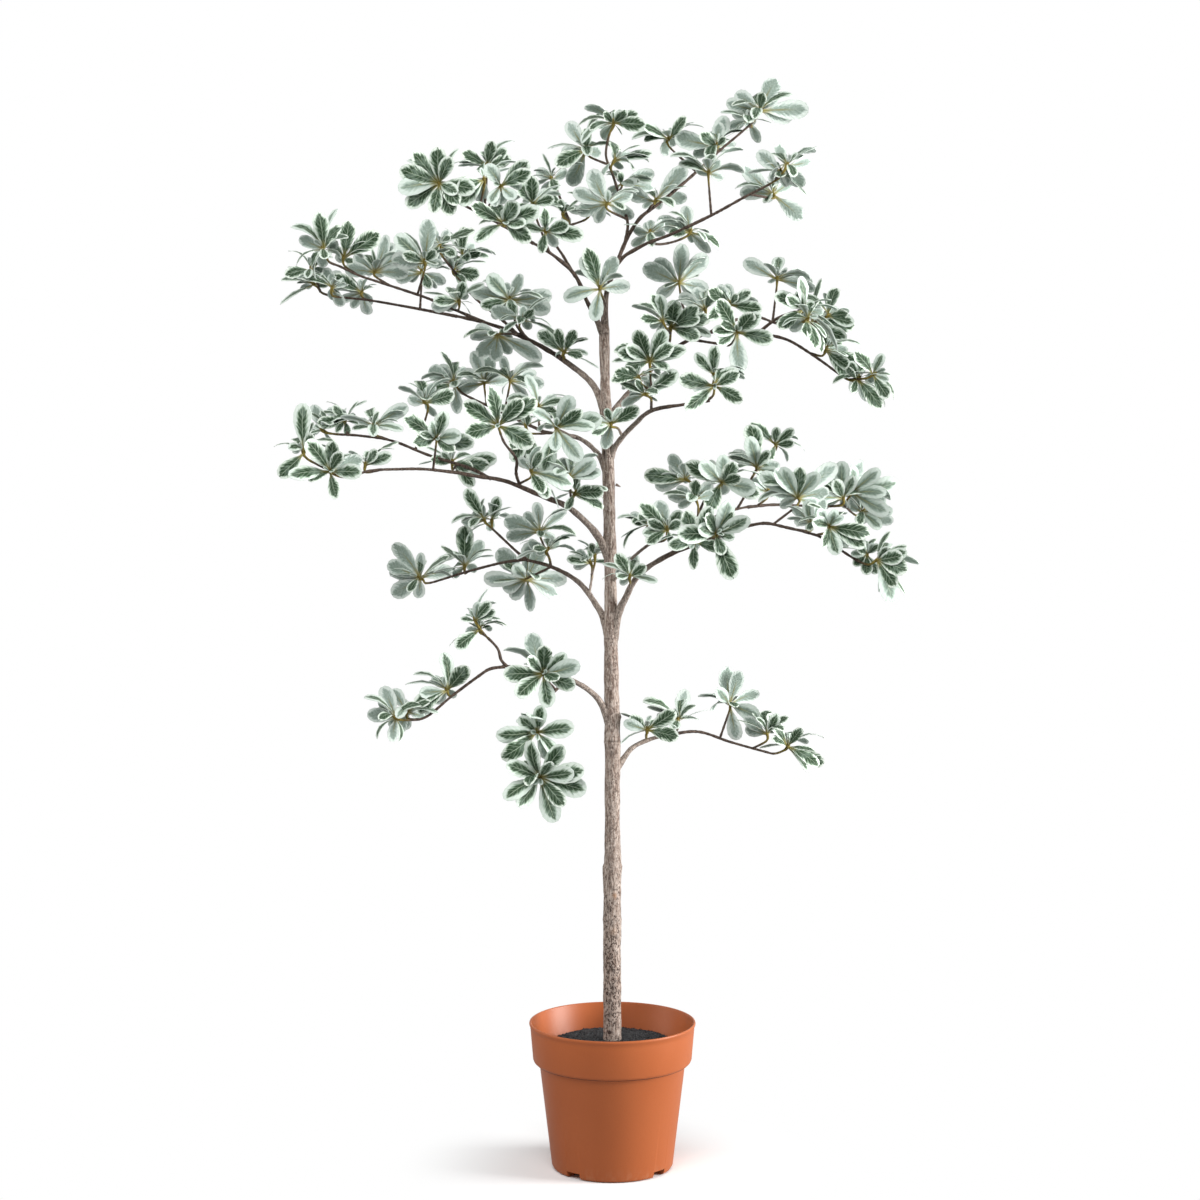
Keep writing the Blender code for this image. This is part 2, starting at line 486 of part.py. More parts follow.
def drain_cutter(name, centre):
    mesh = bpy.data.meshes.new(name)
    shape = bmesh.new()
    bmesh.ops.create_cone(shape, cap_ends=True, segments=DRAIN_HOLE_SIDES, radius1=DRAIN_HOLE_RADIUS,
                          radius2=DRAIN_HOLE_RADIUS, depth=4 * POT_WALL)
    shape.to_mesh(mesh)
    shape.free()
    obj = place_object(name, mesh)
    obj.location = centre
    return obj


def pot_inner_radius(height):
    # The inner wall runs straight from the floor's edge up to the shoulder, and out to the rim.
    shoulder = POT_HEIGHT - BAND_HEIGHT - SHOULDER_DROP
    body = FOOT_RADIUS + (SHOULDER_RADIUS - FOOT_RADIUS) * height / shoulder
    return body - POT_WALL


def build_pot(material):
    shoulder = POT_HEIGHT - BAND_HEIGHT - SHOULDER_DROP
    band_foot = POT_HEIGHT - BAND_HEIGHT
    floor = CHANNEL_DEPTH + POT_WALL
    near, far = CHANNEL_RADII
    corner = []
    for step in range(3):
        angle = math.radians(90 * step / 2)
        corner.append((FOOT_RADIUS - FOOT_CORNER * (1 - math.sin(angle)),
                       FOOT_CORNER * (1 - math.cos(angle))))
    outside = corner + [
        (SHOULDER_RADIUS, shoulder),
        (BAND_FOOT_RADIUS - 0.0016, band_foot - 0.0030),
        (BAND_FOOT_RADIUS, band_foot),
        (RIM_RADIUS, POT_HEIGHT - 0.0025),
        (RIM_RADIUS - 0.0006, POT_HEIGHT),
    ]
    inside = [
        (RIM_RADIUS - POT_WALL, POT_HEIGHT),
        (BAND_FOOT_RADIUS - POT_WALL, band_foot),
        (pot_inner_radius(shoulder), shoulder),
        (pot_inner_radius(floor), floor),
        (near - POT_WALL, floor),
        (near - POT_WALL, POT_WALL),
        (0.0, POT_WALL),
    ]
    underside = [(0.0, 0.0), (near, 0.0), (near, CHANNEL_DEPTH), (far, CHANNEL_DEPTH), (far, 0.0)]
    pot = turned("pot", outside + inside + underside, POT_SEGMENTS)
    cutters = []
    for quarter in range(4):
        angle = NOTCH_TURN + math.radians(90 * quarter)
        centre = Vector((math.cos(angle), math.sin(angle), 0.0)) * (far + FOOT_RADIUS) / 2
        cutters.append(box_cutter("notch", (NOTCH_DEPTH, NOTCH_WIDTH, 2 * NOTCH_HEIGHT), centre, angle))
    for hole in range(DRAIN_HOLES):
        angle = math.tau * (hole + 0.5) / DRAIN_HOLES
        middle = (near + far) / 2
        centre = (middle * math.cos(angle), middle * math.sin(angle), CHANNEL_DEPTH + POT_WALL / 2)
        cutters.append(drain_cutter("drain", centre))
    pot = joined(pot, cutters, "DIFFERENCE")
    finish(pot, material)


def trunk_wood(name, grow):
    # The trunk's own wood, or with `grow` the bore that holds it.
    points = [Vector((across, 0.0, up)) for up, across, radius in TRUNK_PROFILE]
    radii = [radius + grow for up, across, radius in TRUNK_PROFILE]
    points[0].z -= grow
    points[-1].z += grow
    return round_wood(name, points, radii, TRUNK_RESOLUTION)


def build_soil(material):
    edge_height = POT_HEIGHT - SOIL_DROP
    floor = CHANNEL_DEPTH + POT_WALL + GAP
    step_radius = CHANNEL_RADII[0] - POT_WALL - GAP
    wall_gap = 2 * GAP
    shoulder = POT_HEIGHT - BAND_HEIGHT - SHOULDER_DROP
    soil = turned("soil", [
        (0.0, POT_WALL + GAP), (step_radius, POT_WALL + GAP), (step_radius, floor),
        (pot_inner_radius(floor) - wall_gap, floor),
        (pot_inner_radius(shoulder) - wall_gap, shoulder),
        (BAND_FOOT_RADIUS - POT_WALL - wall_gap, POT_HEIGHT - BAND_HEIGHT),
        (BAND_FOOT_RADIUS - POT_WALL, edge_height - 0.004),
        (BAND_FOOT_RADIUS - POT_WALL - 0.001, edge_height),
        (0.070, edge_height + 0.45 * SOIL_HEAP), (0.035, edge_height + 0.9 * SOIL_HEAP),
        (0.0, edge_height + SOIL_HEAP)], POT_SEGMENTS)
    soil = joined(soil, [trunk_wood("bore", GAP)], "DIFFERENCE")
    finish(soil, material)


def finish(obj, material):
    obj.data.materials.clear()
    obj.data.materials.append(material)
    obj.data.shade_smooth()
    obj.data.set_sharp_from_angle(angle=math.radians(40))


def limb_wood(name, run, grow):
    root, tip, places = run
    points = [spot(*place) for place in places]
    count = 2 * len(points)
    route = curved(points, count)
    route[0] += (route[0] - route[1]).normalized() * grow
    route[-1] += (route[-1] - route[-2]).normalized() * grow
    radii = [radius + grow for radius in tapered(root, tip, count)]
    return round_wood(name, route, radii, LIMB_RESOLUTION)


def build_limb(name, material):
    runs = [limb_wood(name, run, 0.0) for run in LIMBS[name]]
    limb = joined(runs[0], runs[1:], "UNION")
    limb = joined(limb, [trunk_wood("socket", GAP)], "DIFFERENCE")
    limb.name = name
    finish(limb, material)
    return limb


def largest_piece(obj):
    # Drop the crumbs that a cut leaves on the far side of what it roots in.
    shape = bmesh.new()
    shape.from_mesh(obj.data)
    left = set(shape.verts)
    pieces = []
    while left:
        piece = set()
        front = [next(iter(left))]
        while front:
            vertex = front.pop()
            if vertex in piece:
                continue
            piece.add(vertex)
            front += [edge.other_vert(vertex) for edge in vertex.link_edges]
        left -= piece
        pieces.append(piece)
    pieces.sort(key=len)
    for crumb in pieces[:-1]:
        bmesh.ops.delete(shape, geom=list(crumb), context="VERTS")
    shape.to_mesh(obj.data)
    shape.free()
    return obj


def sockets_of(carrier):
    # What a spray has cut away where it roots.
    if carrier == "trunk":
        return [trunk_wood("socket", GAP)]
    return [limb_wood("socket", run, GAP) for run in LIMBS[carrier]]


def faces_of(obj):
    corners = [vertex.co.copy() for vertex in obj.data.vertices]
    faces = [tuple(face.vertices) for face in obj.data.polygons]
    return corners, faces


class Crowd:
    # The surfaces already placed, which later leaves keep clear of.
    def __init__(self):
        self.corners = []
        self.faces = []
        self.tree = None

    def add(self, corners, faces):
        offset = len(self.corners)
        self.corners += corners
        self.faces += [tuple(index + offset for index in face) for face in faces]
        self.tree = BVHTree.FromPolygons(self.corners, self.faces)

    def meets(self, corners, faces):
        return bool(self.tree.overlap(BVHTree.FromPolygons(corners, faces)))


def frame_about(facing):
    side = facing.orthogonal().normalized()
    return side, facing.cross(side)


def blade_rays(rosette, spin, cup, chance):
    # The rays of a rosette: for each leaf its number, direction, sideways axis, length and half width.
    hub, facing, leaves, reach = rosette
    side, ahead = frame_about(facing)
    share = math.tau / leaves
    rays = []
    for leaf in range(leaves):
        angle = spin + share * (leaf + chance.uniform(-SPIN_JITTER, SPIN_JITTER))
        level = side * math.cos(angle) + ahead * math.sin(angle)
        lift = math.radians(cup + chance.uniform(-CUP_JITTER, CUP_JITTER))
        direction = level * math.cos(lift) + facing * math.sin(lift)
        length = reach * chance.uniform(*LENGTH_RANGE)
        # A blade keeps inside its own sector, so that a star never runs through itself.
        sector = BLADE_WIDEST * math.cos(lift) * math.tan(share * (0.5 - SPIN_JITTER))
        half = length * min(BLADE_HALF_WIDTH, SECTOR_FILL * sector)
        rays.append((leaf, direction, facing.cross(level), length, half))
    return rays


def blade_shell(hub, ray):
    # A thin box round one blade, a little larger than the blade, to test its room.
    leaf, direction, across, length, half = ray
    spread = across * (half + BLADE_CLEARANCE)
    normal = direction.cross(across).normalized() * 2 * BLADE_CLEARANCE
    widest = hub + direction * length * BLADE_WIDEST
    outline = [hub + direction * length * BLADE_CLEAR_FROM, widest - spread,
               hub + direction * (length + BLADE_CLEARANCE), widest + spread]
    corners = [point + normal for point in outline] + [point - normal for point in outline]
    faces = [(0, 1, 2, 3), (7, 6, 5, 4), (0, 4, 5, 1), (1, 5, 6, 2), (2, 6, 7, 3), (3, 7, 4, 0)]
    return corners, faces


def settle_rosette(rosette, crowd, chance):
    # Turn and cup the rosette until most of its leaves are clear, and leave out those that aren't.
    hub, facing, leaves, reach = rosette
    best = (0.0, [])
    for cup in CUP_ANGLES:
        for step in range(SPIN_STEPS):
            spin = math.tau * step / SPIN_STEPS / leaves
            rays = blade_rays(rosette, spin, cup, chance)
            free = [ray for ray in rays if not crowd.meets(*blade_shell(hub, ray))]
            if len(free) > len(best[1]):
                best = (spin, free)
            if len(free) == leaves:
                return best
    return best


def twig_rings(route, radii, facing):
    # Rings of corners along a twig, each squared to the twig's run there and the last to its rosette.
    side = (route[1] - route[0]).orthogonal()
    rings = []
    for number, (place, radius) in enumerate(zip(route, radii)):
        before = route[max(number - 1, 0)]
        after = route[min(number + 1, len(route) - 1)]
        along = (after - before).normalized() if after != place else facing
        side = (side - along * side.dot(along)).normalized()
        across = along.cross(side)
        ring = []
        for step in range(TWIG_SIDES):
            angle = math.tau * step / TWIG_SIDES
            ring.append(place + (side * math.cos(angle) + across * math.sin(angle)) * radius)
        rings.append(ring)
    return rings


def tube_faces(count):
    faces = []
    for start in range(0, (count - 1) * TWIG_SIDES, TWIG_SIDES):
        for step in range(TWIG_SIDES):
            turn = (step + 1) % TWIG_SIDES
            faces.append((start + step, start + turn, start + TWIG_SIDES + turn, start + TWIG_SIDES + step))
    return faces


def angle_about(point, rosette):
    hub, facing = rosette[:2]
    side, ahead = frame_about(facing)
    return math.atan2((point - hub).dot(ahead), (point - hub).dot(side))


def leafy_twig(name, route, radii, rosette, spin, rays):
    # A twig that opens out at its end into its rosette's hub, with a blade on each free side.
    hub, facing, leaves, reach = rosette
    side, ahead = frame_about(facing)
    rings = twig_rings(route, radii, facing)
    corners = [corner for ring in rings for corner in ring]
    faces = [tuple(range(TWIG_SIDES))] + tube_faces(len(rings))
    last = len(corners) - TWIG_SIDES
    mouth = [angle_about(corner, rosette) for corner in rings[-1]]
    base = len(corners)
    share = math.tau / leaves
    for leaf in range(leaves):
        angle = spin + share * (leaf - 0.5)
        corners.append(hub + (side * math.cos(angle) + ahead * math.sin(angle)) * HUB_RADIUS)
    top = len(corners)
    corners.append(hub + facing * HUB_HEIGHT)
    nearest = []
    for leaf in range(leaves):
        turns = [abs(math.remainder(angle - angle_about(corners[base + leaf], rosette), math.tau))
                 for angle in mouth]
        nearest.append(turns.index(min(turns)))
    for leaf in range(leaves):
        here = base + leaf
        after = base + (leaf + 1) % leaves
        inner = nearest[leaf]
        faces.append((last + inner, here, after))
        while inner != nearest[(leaf + 1) % leaves]:
            turn = (inner + 1) % TWIG_SIDES
            faces.append((last + inner, after, last + turn))
            inner = turn
    blades = {ray[0]: ray for ray in rays}
    for leaf in range(leaves):
        here = base + leaf
        after = base + (leaf + 1) % leaves
        if leaf not in blades:
            faces.append((top, here, after))
            continue
        leaf, direction, across, length, half = blades[leaf]
        widest = hub + direction * length * BLADE_WIDEST
        first = len(corners)
        corners += [widest - across * half, hub + direction * length, widest + across * half]
        faces += [(top, here, first), (top, first, first + 1), (top, first + 1, first + 2),
                  (top, first + 2, after), (here, after, first + 2), (here, first + 2, first),
                  (first, first + 2, first + 1)]
    mesh = bpy.data.meshes.new(name)
    mesh.from_pydata([tuple(corner) for corner in corners], [], faces)
    return welded(place_object(name, mesh))


def twig_route(stem, hub, facing):
    # A short side twig, from a little below the nearest place on the stem.
    foot = hub - facing * STUB_SETBACK
    nearest = min(range(len(stem)), key=lambda index: (stem[index] - foot).length)
    start = stem[max(nearest - 1, 0)]
    return [start, foot, hub - facing * HUB_SEAT]


def plan_spray(spray):
    # The runs of a spray's stem and side twigs, each with the rosette at its end.
    carrier, places, rows = spray
    rosettes = []
    for across, up, behind, facing, leaves, reach in rows:
        rosettes.append((spot(across, up, behind), Vector(FACING[facing]).normalized(), leaves, reach))
    hub, facing = rosettes[0][:2]
    points = [spot(*place) for place in places]
    route = points + [hub - facing * STUB_SETBACK * 0.6, hub - facing * HUB_SEAT]
    thick = SHORT_STEM_RADIUS if len(places) < LONG_STEM_PLACES else LONG_STEM_RADIUS
    if carrier == "trunk":
        thick = TRUNK_STEM_RADIUS
    runs = [(route, tapered(thick, TWIG_RADIUS, len(route)), rosettes[0])]
    stem = curved(points + [hub], 3 * len(points))
    for rosette in rosettes[1:]:
        twig = twig_route(stem, *rosette[:2])
        runs.append((twig, tapered(TWIG_RADIUS * 1.15, TWIG_RADIUS * 0.9, len(twig)), rosette))
    return runs


def twig_shell(run):
    # The side of a twig alone, to keep leaves clear of it before it is built.
    route, radii, rosette = run
    rings = twig_rings(route, radii, rosette[1])
    return [corner for ring in rings for corner in ring], tube_faces(len(rings))


def build_spray(name, runs, crowd, material):
    chance = random.Random(name)
    twigs = []
    for route, radii, rosette in runs:
        spin, rays = settle_rosette(rosette, crowd, chance)
        twig = leafy_twig(name + "_twig", route, radii, rosette, spin, rays)
        crowd.add(*faces_of(twig))
        twigs.append(twig)
    spray = joined(twigs[0], twigs[1:], "UNION")
    spray = largest_piece(joined(spray, sockets_of(SPRAYS[name][0]), "DIFFERENCE"))
    spray.name = name
    finish(spray, material)


def main():
    clear_scene()
    terracotta = make_material("terracotta_plastic", (0.52, 0.145, 0.06), 0.45)
    potting = make_material("potting_soil", (0.022, 0.020, 0.020), 0.95)
    bark = make_material("bark", (0.30, 0.235, 0.185), 0.85)
    twig_bark = make_material("twig_bark", (0.085, 0.055, 0.042), 0.8)
    foliage = make_material("variegated_foliage", (0.22, 0.33, 0.24), 0.55)

    build_pot(terracotta)
    build_soil(potting)
    trunk = trunk_wood("trunk", 0.0)
    finish(trunk, bark)

    crowd = Crowd()
    crowd.add(*faces_of(trunk))
    for name in LIMBS:
        limb = build_limb(name, twig_bark)
        crowd.add(*faces_of(limb))

    planned = {name: plan_spray(spray) for name, spray in SPRAYS.items()}
    for runs in planned.values():
        for run in runs:
            crowd.add(*twig_shell(run))
    for name, runs in planned.items():
        build_spray(name, runs, crowd, foliage)


main()
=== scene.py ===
import math
import random
import bmesh
import bpy
from mathutils import Matrix, Vector, noise


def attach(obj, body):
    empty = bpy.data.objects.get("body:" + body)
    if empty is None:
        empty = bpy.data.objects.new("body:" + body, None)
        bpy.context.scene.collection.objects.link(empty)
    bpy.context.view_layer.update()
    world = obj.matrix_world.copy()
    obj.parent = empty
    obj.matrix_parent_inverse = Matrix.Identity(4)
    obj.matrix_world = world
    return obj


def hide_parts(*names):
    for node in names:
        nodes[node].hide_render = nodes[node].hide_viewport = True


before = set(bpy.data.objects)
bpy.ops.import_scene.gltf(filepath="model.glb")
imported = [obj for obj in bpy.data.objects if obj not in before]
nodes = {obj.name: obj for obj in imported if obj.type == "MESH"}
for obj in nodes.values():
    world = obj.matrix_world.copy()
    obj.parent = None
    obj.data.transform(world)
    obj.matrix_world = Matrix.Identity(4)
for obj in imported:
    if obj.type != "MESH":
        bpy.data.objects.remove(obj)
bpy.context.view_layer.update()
print("frame loaded:", len(nodes), "solids")


# ---- small helpers used all through

def letGo():
    if bpy.context.object and bpy.context.object.mode != "OBJECT":
        bpy.ops.object.mode_set(mode="OBJECT")
    bpy.ops.object.select_all(action="DESELECT")


def pick(*objects):
    letGo()
    for obj in objects:
        obj.select_set(True)
    bpy.context.view_layer.objects.active = objects[0]
    return objects[0]


def editAll(obj):
    pick(obj)
    bpy.ops.object.mode_set(mode="EDIT")
    bpy.ops.mesh.select_all(action="SELECT")


def settle(obj):
    # Put an object's place, turn and size into its mesh.
    pick(obj)
    bpy.ops.object.transform_apply(location=True, rotation=True, scale=True)
    return obj


def modified(obj, kind, **settings):
    # Add one modifier and apply it.
    modifier = obj.modifiers.new(kind.lower(), kind)
    for name, value in settings.items():
        setattr(modifier, name, value)
    pick(obj)
    bpy.ops.object.modifier_apply(modifier=modifier.name)


def selectCorners(obj, test):
    shape = bmesh.from_edit_mesh(obj.data)
    for vertex in shape.verts:
        vertex.select = bool(test(vertex.co))
    shape.select_flush_mode()
    bmesh.update_edit_mesh(obj.data)


def mergeAndFace(obj, distance=0.000001):
    # Merge doubled corners and turn every face outwards.
    editAll(obj)
    bpy.ops.mesh.remove_doubles(threshold=distance)
    bpy.ops.mesh.normals_make_consistent(inside=False)
    bpy.ops.object.mode_set(mode="OBJECT")
    return obj


def smoothFaces(obj, degrees):
    pick(obj)
    bpy.ops.object.shade_smooth_by_angle(angle=math.radians(degrees))
    return obj


def smoothAll(obj):
    pick(obj)
    bpy.ops.object.shade_smooth()
    return obj


def joinAll(name, objects):
    pick(*objects)
    if len(objects) > 1:
        bpy.ops.object.join()
    joined = bpy.context.object
    joined.name = name
    joined.data.name = name
    return joined


def newObject(name, data):
    obj = bpy.data.objects.new(name, data)
    bpy.context.scene.collection.objects.link(obj)
    return obj


def copyOf(model, place):
    mesh = model.data.copy()
    mesh.transform(place)
    return newObject(model.name + "Copy", mesh)


def turned(name, line, steps):
    # Spin an outline about the upright axis.
    mesh = bpy.data.meshes.new(name)
    mesh.from_pydata(line, [(step, step + 1) for step in range(len(line) - 1)], [])
    obj = newObject(name, mesh)
    editAll(obj)
    bpy.ops.mesh.spin(steps=steps, angle=math.tau, center=(0.0, 0.0, 0.0), axis=(0.0, 0.0, 1.0))
    return mergeAndFace(obj, distance=0.00001)


def paint(obj, name, values):
    # Give every corner of a mesh its own value, for a material to read.
    layer = obj.data.attributes.get(name) or obj.data.attributes.new(name, "FLOAT", "POINT")
    layer.data.foreach_set("value", values)
    obj.data.update()


def paintEvenly(obj, name, value):
    paint(obj, name, [value] * len(obj.data.vertices))


def easeStep(low, high, value):
    t = min(max((value - low) / (high - low), 0.0), 1.0)
    return t * t * (3 - 2 * t)


def spread(chance, amount):
    return chance.uniform(-1, 1) * amount


def compass(turn, lean):
    # A direction, from its way round the front plane and its lean out of it.
    return Vector((math.sin(turn) * math.cos(lean), -math.sin(lean), math.cos(turn) * math.cos(lean)))


def finishPiece(obj, slotName, *replaced):
    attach(obj, "root")
    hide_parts(*replaced)


# ---- material helpers

def newMaterial(name, look):
    material = bpy.data.materials.new(name)
    material.use_nodes = True
    shader = material.node_tree.nodes["Principled BSDF"]
    shader.inputs["Roughness"].default_value = look["roughness"]
    shader.inputs["Specular IOR Level"].default_value = look["shine"]
    return material, material.node_tree, shader


def newGroup(name, inputs, outputs):
    tree = bpy.data.node_groups.new(name, "ShaderNodeTree")
    for label, kind, value in inputs:
        socket = tree.interface.new_socket(name=label, in_out="INPUT", socket_type=kind)
        if value is not None:
            socket.default_value = value
    for label in outputs:
        tree.interface.new_socket(name=label, in_out="OUTPUT", socket_type="NodeSocketFloat")
    return tree, tree.nodes.new("NodeGroupInput").outputs, tree.nodes.new("NodeGroupOutput").inputs


def sendOut(tree, sockets, values):
    for name, value in values.items():
        tree.links.new(value, sockets[name])


def plug(tree, socket, value):
    if isinstance(value, bpy.types.NodeSocket):
        tree.links.new(value, socket)
    elif value is not None:
        socket.default_value = value


def maths(tree, operation, first, second=None, third=None):
    step = tree.nodes.new("ShaderNodeMath")
    step.operation = operation
    for socket, value in zip(step.inputs, (first, second, third)):
        plug(tree, socket, value)
    return step.outputs[0]


def times(tree, first, second):
    return maths(tree, "MULTIPLY", first, second)


def timesPlus(tree, first, second, third):
    return maths(tree, "MULTIPLY_ADD", first, second, third)


def softStep(tree, value, low, high, atLow=0.0, atHigh=1.0):
    step = tree.nodes.new("ShaderNodeMapRange")
    step.interpolation_type = "SMOOTHSTEP"
    for socket, given in zip(step.inputs, (value, low, high, atLow, atHigh)):
        plug(tree, socket, given)
    return step.outputs[0]


def softFall(tree, value, low, high):
    return softStep(tree, value, low, high, 1.0, 0.0)


def blendColours(tree, factor, *colours):
    mix = tree.nodes.new("ShaderNodeMix")
    mix.data_type = "RGBA"
    plug(tree, mix.inputs["Factor"], factor)
    for socket, colour in zip((mix.inputs[6], mix.inputs[7]), colours):
        plug(tree, socket, colour if isinstance(colour, bpy.types.NodeSocket) else (*colour, 1.0))
    return mix.outputs[2]


def layered(tree, look, masks, colour):
    # Lay the look's colours over each other: each layer is a mask, its share and its colour.
    for mask, share, name in look["layers"]:
        colour = blendColours(tree, times(tree, masks[mask], share), colour, look[name])
    return colour


def scaled(tree, vector, size, shift=(0.0, 0.0, 0.0)):
    step = tree.nodes.new("ShaderNodeMapping")
    plug(tree, step.inputs["Vector"], vector)
    step.inputs["Scale"].default_value = size
    step.inputs["Location"].default_value = shift
    return step.outputs[0]


def cloudy(tree, vector, scale, detail=2.0, roughness=0.5):
    step = tree.nodes.new("ShaderNodeTexNoise")
    for name, value in zip(("Vector", "Scale", "Detail", "Roughness"), (vector, scale, detail, roughness)):
        plug(tree, step.inputs[name], value)
    return step.outputs["Fac"]


def speckled(tree, vector, scale):
    step = tree.nodes.new("ShaderNodeTexVoronoi")
    plug(tree, step.inputs["Vector"], vector)
    plug(tree, step.inputs["Scale"], scale)
    return step.outputs["Distance"]


def dress(tree, shader, colour, height, strength, distance):
    # Plug a colour and a raised surface into the shader.
    tree.links.new(colour, shader.inputs["Base Color"])
    bump = tree.nodes.new("ShaderNodeBump")
    bump.inputs["Strength"].default_value = strength
    bump.inputs["Distance"].default_value = distance
    plug(tree, bump.inputs["Height"], height)
    tree.links.new(bump.outputs[0], shader.inputs["Normal"])


def placed(tree, group):
    step = tree.nodes.new("ShaderNodeGroup")
    step.node_tree = group
    return step.inputs, {socket.name: socket for socket in step.outputs}


def attributeValue(tree, name):
    step = tree.nodes.new("ShaderNodeAttribute")
    step.attribute_name = name
    return step.outputs["Fac"]


def objectPlace(tree):
    return tree.nodes.new("ShaderNodeTexCoord").outputs["Object"]


def alongAxes(tree, vector):
    split = tree.nodes.new("ShaderNodeSeparateXYZ")
    tree.links.new(vector, split.inputs[0])
    return split.outputs[0], split.outputs[1], split.outputs[2]


def mixShaders(tree, factor, first, second, target):
    mix = tree.nodes.new("ShaderNodeMixShader")
    for socket, value in zip(mix.inputs, (factor, first.outputs[0], second.outputs[0])):
        tree.links.new(value, socket)
    tree.links.new(mix.outputs[0], target.inputs["Surface"])


# ---- the leaf pattern: a feathered dark centre, a halo, veins and a pale margin, on the leaf's own UV map

leafPattern = {
    "veins": 8.0, "veinSlope": 2.0, "sideShift": 0.45, "sideGap": 7.0, "veinLine": (0.02, 0.17),
    "centreEdge": 0.56, "centreSoft": (0.12, 0.06), "feather": 0.66, "calmTone": 1.22, "patchiness": 0.56,
    "toneShift": -0.56, "paleTones": (0.66, 0.86, 1.0, 0.50), "haloWidth": 0.27,
    "tip": (4.0, -3.0), "tipMargin": 0.75, "base": (-3.3, 1.0), "baseMargin": 0.10,
    "ribWidth": (-0.055, 0.080), "ribCore": 0.4, "wideRib": (0.03, 0.17), "ribFades": (0.30, 0.80),
    "frostStep": (0.50, 0.66), "patchStep": (0.42, 0.60), "baseFades": (0.06, 0.32),
    "ribDent": -0.8, "veinRise": 0.6, "fineRise": 0.35,
    "clouds": {  # size across and along, how far the leaf's tone moves it, detail, roughness
        "patch": (3.2, 4.4, 43.0, 2.0, 0.5), "feather": (2.4, 1.3, 61.0, 3.0, 0.62),
        "fine": (6.5, 6.5, 71.0, 3.0, 0.65), "frost": (1.6, 0.5, 53.0, 2.0, 0.6),
    },
}


def buildLeafPattern():
    given = leafPattern
    tree, inputs, outputs = newGroup(
        "leafPattern", [("UV", "NodeSocketVector", None), ("Tone", "NodeSocketFloat", 0.5)],
        ("Centre", "Halo", "Vein", "Midrib", "Rib", "Patch", "Frost", "Base", "Height"))
    u, v = alongAxes(tree, inputs["UV"])[:2]
    tone = inputs["Tone"]

    def cloudOn(name, first, second):
        *sizes, detail, roughness = given["clouds"][name]
        joinUp = tree.nodes.new("ShaderNodeCombineXYZ")
        for socket, value, size in zip(joinUp.inputs, (first, second, tone), sizes):
            tree.links.new(times(tree, value, size), socket)
        return cloudy(tree, joinUp.outputs[0], 1.0, detail, roughness)

    across = maths(tree, "ABSOLUTE", timesPlus(tree, u, 2.0, -1.0))
    tip, base = (maths(tree, "MAXIMUM", timesPlus(tree, v, *given[end]), 0.0) for end in ("tip", "base"))
    reach = timesPlus(tree, times(tree, tip, tip), given["tipMargin"], across)
    reach = timesPlus(tree, base, given["baseMargin"], reach)
    rightHalf = maths(tree, "GREATER_THAN", u, 0.5)
    slope = timesPlus(tree, across, -given["veinSlope"], times(tree, rightHalf, given["sideShift"]))
    line = timesPlus(tree, v, given["veins"], slope)
    wave = times(tree, maths(tree, "PINGPONG", line, 0.5), 2.0)
    sided = timesPlus(tree, rightHalf, given["sideGap"], across)
    patch = cloudOn("patch", u, v)
    feather = cloudOn("feather", line, sided)
    fine = cloudOn("fine", line, sided)
    frost = cloudOn("frost", across, line)
    ragged = times(tree, maths(tree, "SUBTRACT", given["calmTone"], tone), given["feather"] * 2)
    edge = given["centreEdge"]
    for value, weight in ((patch, given["patchiness"]), (feather, ragged), (tone, given["toneShift"])):
        edge = timesPlus(tree, maths(tree, "SUBTRACT", value, 0.5), weight, edge)
    inner, outer = given["centreSoft"]
    centre = softFall(tree, reach, maths(tree, "SUBTRACT", edge, inner), maths(tree, "ADD", edge, outer))
    ribWidth = timesPlus(tree, v, *given["ribWidth"])
    midrib = softFall(tree, across, times(tree, ribWidth, given["ribCore"]), ribWidth)
    height = timesPlus(tree, midrib, given["ribDent"], times(tree, wave, given["veinRise"]))
    sendOut(tree, outputs, {
        "Centre": times(tree, centre, softStep(tree, tone, *given["paleTones"])),
        "Halo": softFall(tree, reach, edge, maths(tree, "ADD", edge, given["haloWidth"])),
        "Vein": softFall(tree, wave, *given["veinLine"]),
        "Midrib": midrib,
        "Rib": times(tree, softFall(tree, across, *given["wideRib"]), softFall(tree, v, *given["ribFades"])),
        "Frost": softStep(tree, frost, *given["frostStep"]),
        "Patch": softStep(tree, fine, *given["patchStep"]),
        "Base": softFall(tree, v, *given["baseFades"]),
        "Height": timesPlus(tree, fine, given["fineRise"], height),
    })
    return tree


